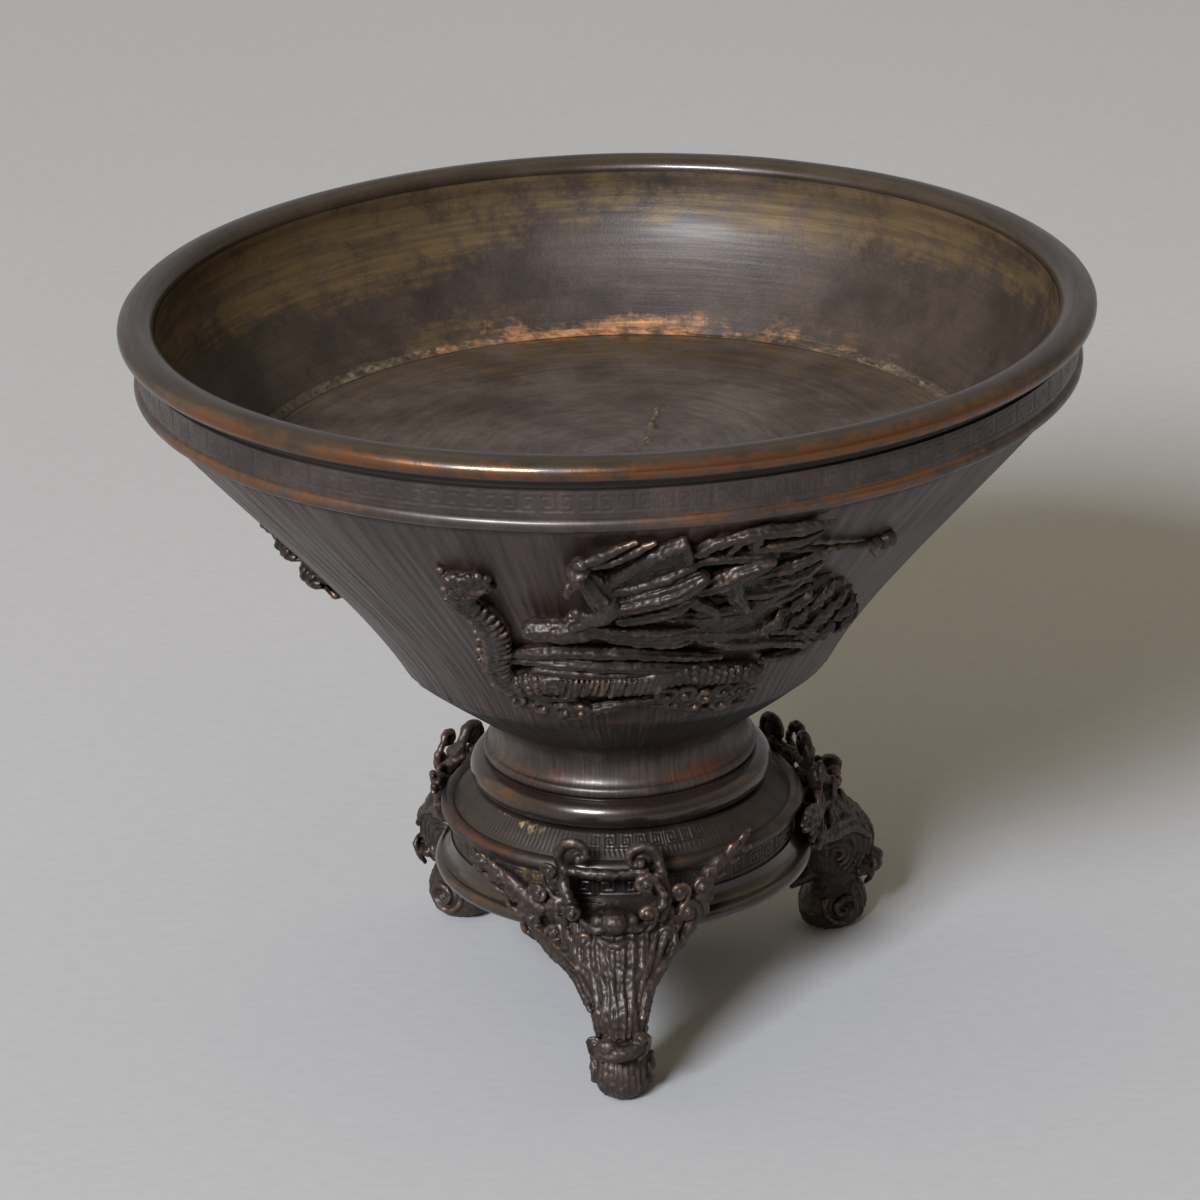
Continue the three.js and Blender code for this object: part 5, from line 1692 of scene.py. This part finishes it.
    def _scales(self, stops: Sequence[Point], radius: float, lift: float) -> None:
        """Adds overlapping scales along a bar on the wall.

        Args:
            stops: Stops of the bar.
            radius: Radius of the bar.
            lift: Height of the bar off the wall.
        """
        for i, (centre, tangent, side, normal) in enumerate(self.frames(stops, lift, 1.6)):
            for turn in np.radians(np.arange(-70, 71, 28) + (0 if i % 2 else 14)):
                lean = math.cos(turn) * normal + math.sin(turn) * side
                cross = -math.sin(turn) * normal + math.cos(turn) * side
                axes = [tangent + lean * 0.25, cross * 0.85, lean * 0.5]
                self.clay.ball(centre + lean * radius, np.stack(axes), 8)

    def _head(self) -> None:
        """Adds the beast's blunt head: muzzle, nose, jaw, brow, eye and ear."""
        self.shift = 0.045
        muzzle = [(-3.2, 0.527, 3.4), (-6.2, 0.533, 4.0), (-8.8, 0.531, 3.9), (-10.6, 0.528, 3.8)]
        self.bar(muzzle, [3.2, 3.2, 3.0, 3.1])
        self.pad((-11.2, 0.545, 5.2), (1.7, 1.1, 1.3))
        self.pad((-11.6, 0.518, 4.8), (1.2, 1.0, 1.2))
        self.bar([(-5.6, 0.492, 2.8), (-8.4, 0.486, 3.2), (-11.0, 0.488, 3.0)], [1.5, 1.4, 1.1])
        self.pad((-6.6, 0.555, 5.3), (2.0, 1.0, 1.3), -8)
        self.pad((-7.6, 0.537, 6.3), (0.9, 0.8, 0.8))
        self.bar([(-4.4, 0.56, 4.6), (-2.4, 0.585, 4.8), (-0.6, 0.598, 4.0)], [1.3, 1.1, 0.6])

    def _rider(self) -> None:
        """Adds the rider: head, robe, sleeves, legs, scarf, staff and gourd."""
        self.shift = 0.055
        self._bust()
        self._robe()
        self.shift = -0.015
        scarves = ([(11.7, 0.915), (13.0, 0.948), (14.5, 0.972)],
                   [(15.9, 0.912), (16.8, 0.96), (18.6, 0.974), (18.8, 0.921), (20.6, 0.887)],
                   [(19.1, 0.91), (22.2, 0.914), (25.1, 0.918), (27.4, 0.94)],
                   [(12.4, 0.93), (16.4, 0.975), (20.0, 0.982), (23.6, 0.972), (26.4, 0.972), (28.4, 0.978)],
                   [(10.8, 0.86), (14.0, 0.888), (18.0, 0.876), (22.6, 0.858)])
        for stops in scarves:
            self.bar(stops, [1.0, 1.6, 1.5, 0.7], 1.9, 5)
        self.shift = 0.01
        self.bar([(13.0, 0.872), (22.7, 0.851), (30.1, 0.808), (39.6, 0.75)], [0.9, 0.85, 0.85, 0.85], 1.5)
        self.pad((41.8, 0.743, 1.1), (2.7, 2.6, 2.2))
        self.pad((39.5, 0.753, 1.2), (1.5, 1.5, 1.5))
        self.bar([(39.1, 0.737, 1.2), (41.0, 0.7, 1.2), (43.0, 0.66, 0.9)], [0.7, 0.7, 0.45])

    def _bust(self) -> None:
        """Adds the rider's head under its hat, the beard, the chest, the arm and the raised sleeve."""
        self.pad((-2.7, 0.795, 3.8), (2.3, 3.0, 2.7), 6)
        self.pad((-3.9, 0.79, 5.6), (0.6, 0.8, 1.1))
        self.pad((-3.4, 0.768, 5.2), (1.0, 0.7, 0.9))
        self.pad((-2.5, 0.838, 4.3), (2.9, 1.2, 2.8), 10)
        self.pad((-2.2, 0.858, 3.6), (2.1, 1.5, 2.0), 14)
        for stops in ([(-1.6, 0.858, 3.4), (0.6, 0.882, 2.9), (2.4, 0.905, 2.4), (4.3, 0.925, 2.0)],
                      [(-0.6, 0.84, 3.0), (2.2, 0.858, 2.6), (4.6, 0.892, 2.2), (6.4, 0.915, 1.8)]):
            self.bar(stops, [1.2, 1.35, 1.2, 0.7])
        self.bar([(-3.5, 0.76, 4.4), (-4.3, 0.722, 4.4), (-4.2, 0.69, 3.8)], [1.2, 1.1, 0.6])
        self.bar([(-1.4, 0.765, 2.4), (0.0, 0.69, 2.8), (1.2, 0.63, 2.8)], [3.0, 3.7, 3.5], grooves=9)
        self.bar([(1.2, 0.68, 5.2), (0.4, 0.635, 5.6), (-1.8, 0.612, 5.2), (-3.0, 0.622, 4.6)],
                 [2.2, 2.2, 1.8, 1.4])
        self.pad((-3.6, 0.628, 4.8), (1.4, 1.3, 1.3))
        low = [(0.9, 0.705), (4.3, 0.716), (7.6, 0.748), (11.4, 0.797)]
        high = [(0.7, 0.725), (3.4, 0.8), (6.4, 0.86), (9.9, 0.91)]
        self.sheet(low, high, 7, 1.55, 1.5)
        self.bar(high, [1.7, 1.8, 1.6, 1.1], 2.6)
        self.bar(low, [1.8, 1.7, 1.6, 1.2], 2.8)
        self.bar([(9.9, 0.91), (10.4, 0.87), (10.7, 0.835), (11.4, 0.797)], [1.1, 1.4, 1.4, 1.2], 2.2)

    def _robe(self) -> None:
        """Adds the rider's thigh, knee and shin under the robe and the folds that stream behind."""
        self.pad((9.5, 0.68, 0.4), (10.5, 7.4, 3.0), 8)
        self.pad((19.5, 0.67, 0.2), (10.0, 8.0, 2.6), 0)
        self.bar([(1.8, 0.655), (6.9, 0.695), (9.9, 0.722), (12.4, 0.765)], [2.6, 3.1, 3.1, 2.4], 4.0, 9)
        self.bar([(2.6, 0.578), (6.8, 0.604), (9.5, 0.624), (12.0, 0.662)], [2.0, 2.6, 2.6, 1.8], 3.6, 8)
        self.bar([(13.0, 0.7), (15.5, 0.724), (17.4, 0.756), (19.8, 0.775), (21.8, 0.787)],
                 [2.0, 2.6, 2.7, 2.2, 1.1], 3.4, 8)
        self.bar([(16.6, 0.752), (17.4, 0.7), (18.2, 0.648), (20.8, 0.562)], [2.5, 2.4, 2.2, 1.5], 3.4, 8)
        self.bar([(11.6, 0.655), (13.6, 0.618), (15.4, 0.585), (16.4, 0.55)], [2.0, 2.0, 1.8, 1.3], 3.2)
        folds = ([(22.4, 0.662), (26.0, 0.675), (28.3, 0.686), (30.0, 0.712)],
                 [(14.0, 0.556), (21.9, 0.556), (26.5, 0.572), (30.3, 0.598)],
                 [(20.8, 0.548), (24.4, 0.59), (27.4, 0.642), (29.6, 0.7)],
                 [(20.6, 0.72), (24.0, 0.73), (27.6, 0.752), (30.4, 0.778)],
                 [(19.4, 0.63), (22.6, 0.622), (26.4, 0.634), (29.4, 0.65)],
                 [(3.4, 0.636), (7.0, 0.656), (10.6, 0.682), (13.0, 0.712)])
        for stops in folds:
            self.bar(stops, [1.2, 1.7, 1.5, 0.8], 2.7, 6)
        low = [(7.0, 0.445), (15.9, 0.415), (22.0, 0.38), (29.0, 0.345)]
        high = [(5.0, 0.525), (14.9, 0.51), (21.8, 0.5), (31.0, 0.51)]
        self.sheet(low, high, 7, 1.7, 1.2)

    def _waves(self) -> None:
        """Adds the low swells with their curling crests and the foliage on the right."""
        self.shift = 0.04
        lows = ([(-23.1, 0.102), (-18.6, 0.078), (-12.7, 0.06), (-7.4, 0.058), (-0.6, 0.09), (6.0, 0.1)],
                [(-22.4, 0.165), (-17.9, 0.15), (-13.7, 0.135), (-8.0, 0.125)],
                [(4.0, 0.105), (11.5, 0.117), (16.6, 0.12), (23.2, 0.09), (29.6, 0.089), (34.0, 0.084)],
                [(10.0, 0.08), (14.2, 0.066), (21.6, 0.042), (28.6, 0.034), (33.0, 0.03)],
                [(37.3, 0.333), (43.0, 0.25), (39.1, 0.222), (32.4, 0.225)])
        for stops in lows:
            self.bar(stops, [1.1, 1.8, 1.9, 1.7, 1.0], 1.2, 6)
        rng = np.random.default_rng(71)
        crests = ((-20.8, 0.112), (-15.4, 0.09), (-10.8, 0.078), (-6.0, 0.075), (12.4, 0.145), (16.4, 0.138),
                  (20.4, 0.112), (24.4, 0.128), (28.4, 0.115), (31.6, 0.1), (18.2, 0.078), (24.8, 0.066),
                  (13.6, 0.098))
        for azimuth, share in crests:
            self._crest(azimuth, share, rng.uniform(2.5, 3.3), rng.choice([-1, 1]))
        self.pad((21.0, 0.09, -0.4), (13.0, 5.8, 2.4), -8)
        self.pad((-14.0, 0.085, -0.4), (9.0, 3.6, 2.0), -6)
        self._foliage(rng)

    def _crest(self, azimuth: float, share: float, radius: float, spin: int) -> None:
        """Adds one curling crest, wound over a boss in the plane of the wall.

        Args:
            azimuth: Place round the bowl in degrees.
            share: Share of the wall's rise.
            radius: Outer radius.
            spin: 1 or -1, the way that it winds.
        """
        self.pad((azimuth, share, 0.8), (0.9 * radius, 0.9 * radius, 1.6))
        stops = []
        for part in np.linspace(0, 1, 16):
            angle = math.radians(-100) + spin * 2 * np.pi * 1.25 * part
            wide = radius * (1 - 0.75 * part)
            stops.append((azimuth + wide * math.cos(angle) / 1.12, share + wide * math.sin(angle) / 86.0,
                          1.5 + 1.5 * part))
        self.bar(stops, [0.42 * radius, 0.36 * radius, 0.32 * radius, 0.3 * radius])

    def _foliage(self, rng: np.random.Generator) -> None:
        """Adds the bank of foliage behind the rider: tufts of strands that fan out to the right.

        Args:
            rng: Source of the strands' differences.
        """
        self.shift = 0.0
        bank = [(29.5, 0.6), (33.5, 0.585), (38.0, 0.53), (42.5, 0.46), (46.5, 0.385), (42.0, 0.365),
                (36.0, 0.42), (31.5, 0.5), (26.5, 0.5), (37.0, 0.48)]
        for azimuth, share in bank:
            self.pad((azimuth, share, 0.0), (5.4, 6.2, 2.6), -25)
        for azimuth, share in bank:
            for turn in np.radians(np.linspace(-110, 65, 13) + rng.uniform(-6, 6)):
                along, rise = math.cos(turn) / 1.5, math.sin(turn) / 90.0
                reach = rng.uniform(3.6, 5.4)
                high = rng.uniform(2.6, 3.6)
                stops = [(azimuth + part * reach * along, share + part * reach * rise, high + bend)
                         for part, bend in ((0.0, 0.0), (0.55, 0.7), (1.0, -1.0))]
                self.bar(stops, [0.75, 0.75, 0.45])
        ridges = ([(14.9, 0.5), (21.8, 0.472), (28.9, 0.465), (32.5, 0.485)],
                  [(15.9, 0.447), (22.0, 0.416), (28.6, 0.38), (34.0, 0.35)],
                  [(25.7, 0.4), (31.0, 0.375), (37.3, 0.335), (42.0, 0.28)],
                  [(29.0, 0.44), (36.0, 0.405), (43.0, 0.335), (46.5, 0.29)])
        for stops in ridges:
            self.bar(stops, [1.1, 1.8, 1.7, 0.9], 2.0, 6)


@dataclass(frozen=True)
class Softbox:
    """One soft rectangular light that faces the bowl."""

    name: str
    azimuth: float
    elevation: float
    distance: float
    wide: float
    high: float
    power: float
    tint: Triple
    aim: float = 0.1

    def place(self) -> None:
        """Hangs the light at its distance from the bowl's middle, in metres."""
        data = bpy.data.lights.new(self.name, "AREA")
        data.shape = "RECTANGLE"
        data.size = self.wide
        data.size_y = self.high
        data.energy = self.power
        data.color = self.tint
        lamp = bpy.data.objects.new(self.name, data)
        way = direction(self.azimuth, self.elevation)
        lamp.location = Vector((0, 0, self.aim)) + self.distance * way
        lamp.rotation_euler = way.to_track_quat("Z", "Y").to_euler()
        bpy.context.scene.collection.objects.link(lamp)


@dataclass
class Studio:
    """The pale floor, the soft lights and the camera."""

    floor_half: float = 6.0
    floor_front: float = -5.0
    floor_back: float = 3.0
    floor_bend: float = 1.4
    floor_top: float = 5.0
    camera_place: Triple = (0.03837, -1.21142, 0.59107)
    camera_azimuth: float = 2.0
    camera_elevation: float = 21.83
    camera_roll: float = -1.88
    lens: float = 156.0
    paper: Triple = (0.37, 0.366, 0.375)
    room: Point = (0.08, 0.86)
    room_tint: Triple = (1.0, 0.87, 0.63)
    room_side: Triple = (-0.6, 0.7, 0.4)
    lights: tuple[Softbox, ...] = (
        Softbox("key_box", -25.5, 32.6, 6.4, 2.0, 1.5, 752.0, (0.87, 0.92, 1.0)),
    )

    def make(self) -> None:
        """Sets the stage."""
        self._floor()
        for light in self.lights:
            light.place()
        self._world()
        self._camera()
        bpy.context.scene.view_settings.view_transform = "Standard"

    def _floor(self) -> None:
        """Adds the sheet of paper that sweeps up far behind the bowl."""
        back, bend, half = self.floor_back, self.floor_bend, self.floor_half
        section = np.vstack([
            line((self.floor_front, 0.0), (back, 0.0), 8),
            arc((back, bend), (bend, bend), -90, 0, 16)[1:],
            line((back + bend, bend), (back + bend, self.floor_top), 3)[1:]])
        points = np.array([(side, depth, level) for depth, level in section for side in (-half, half)])
        faces = np.array([(2 * k, 2 * k + 1, 2 * k + 3, 2 * k + 2) for k in range(len(section) - 1)])
        sketch = NodeSketch("paper")
        cloud = sketch.span(sketch.noise(2.0, 4.0, 0.55), 0.35, 0.65, 0.975, 1.0)
        x, y, z = sketch.split()
        grain = sketch.noise(420.0, 5.0, 0.65, sketch.joined(sketch.times(x, 0.4), y, z))
        tone = sketch.shaded(self.paper, cloud)
        tone = sketch.shaded(tone, sketch.span(grain, 0.25, 0.75, 0.97, 1.03))
        sketch.set(Base_Color=tone, Roughness=0.85, Specular_IOR_Level=0.15)
        floor = Surface(points / MM, [faces]).build("paper_floor", [sketch.material])

    def _world(self) -> None:
        """Sets the warm room light, brighter behind and to the left than in front and to the right."""
        world = bpy.data.worlds.new("room")
        world.use_nodes = True
        tree = world.node_tree
        ground = tree.nodes["Background"]
        ground.inputs["Color"].default_value = (*self.room_tint, 1.0)
        toward = tree.nodes.new("ShaderNodeVectorMath")
        toward.operation = "DOT_PRODUCT"
        toward.inputs[1].default_value = self.room_side
        tree.links.new(tree.nodes.new("ShaderNodeTexCoord").outputs["Generated"], toward.inputs[0])
        level = tree.nodes.new("ShaderNodeMapRange")
        for socket, amount in zip(level.inputs[1:5], (-1.0, 1.0, *self.room)):
            socket.default_value = amount
        tree.links.new(toward.outputs["Value"], level.inputs["Value"])
        tree.links.new(level.outputs["Result"], ground.inputs["Strength"])
        bpy.context.scene.world = world

    def _camera(self) -> None:
        """Places the camera where the photo was taken from."""
        turn, roll = math.radians(self.camera_azimuth), math.radians(self.camera_roll)
        back = direction(self.camera_azimuth, self.camera_elevation)
        right = Vector((math.cos(turn), math.sin(turn), 0.0))
        up = back.cross(right)
        across = math.cos(roll) * right + math.sin(roll) * up
        above = -math.sin(roll) * right + math.cos(roll) * up
        data = bpy.data.cameras.new("camera")
        data.lens = self.lens
        data.sensor_width = 36.0
        data.clip_end = 50.0
        camera = bpy.data.objects.new("camera", data)
        basis = Matrix((across, above, back)).transposed().to_4x4()
        camera.matrix_world = Matrix.Translation(Vector(self.camera_place)) @ basis
        bpy.context.scene.collection.objects.link(camera)
        bpy.context.scene.camera = camera


def main() -> None:
    """Builds every piece of the bowl in order and sets the stage."""
    logging.basicConfig(level=logging.INFO, format="%(message)s")
    makers = (LipRing(), CollarBand(), BowlWall(), BasinFloor(), NeckStem(), BaseMouldings(),
              ScrollLeg(), ReliefPanel(), Studio())
    for maker in makers:
        maker.make()


if __name__ == "__main__":
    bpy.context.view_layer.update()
    main()
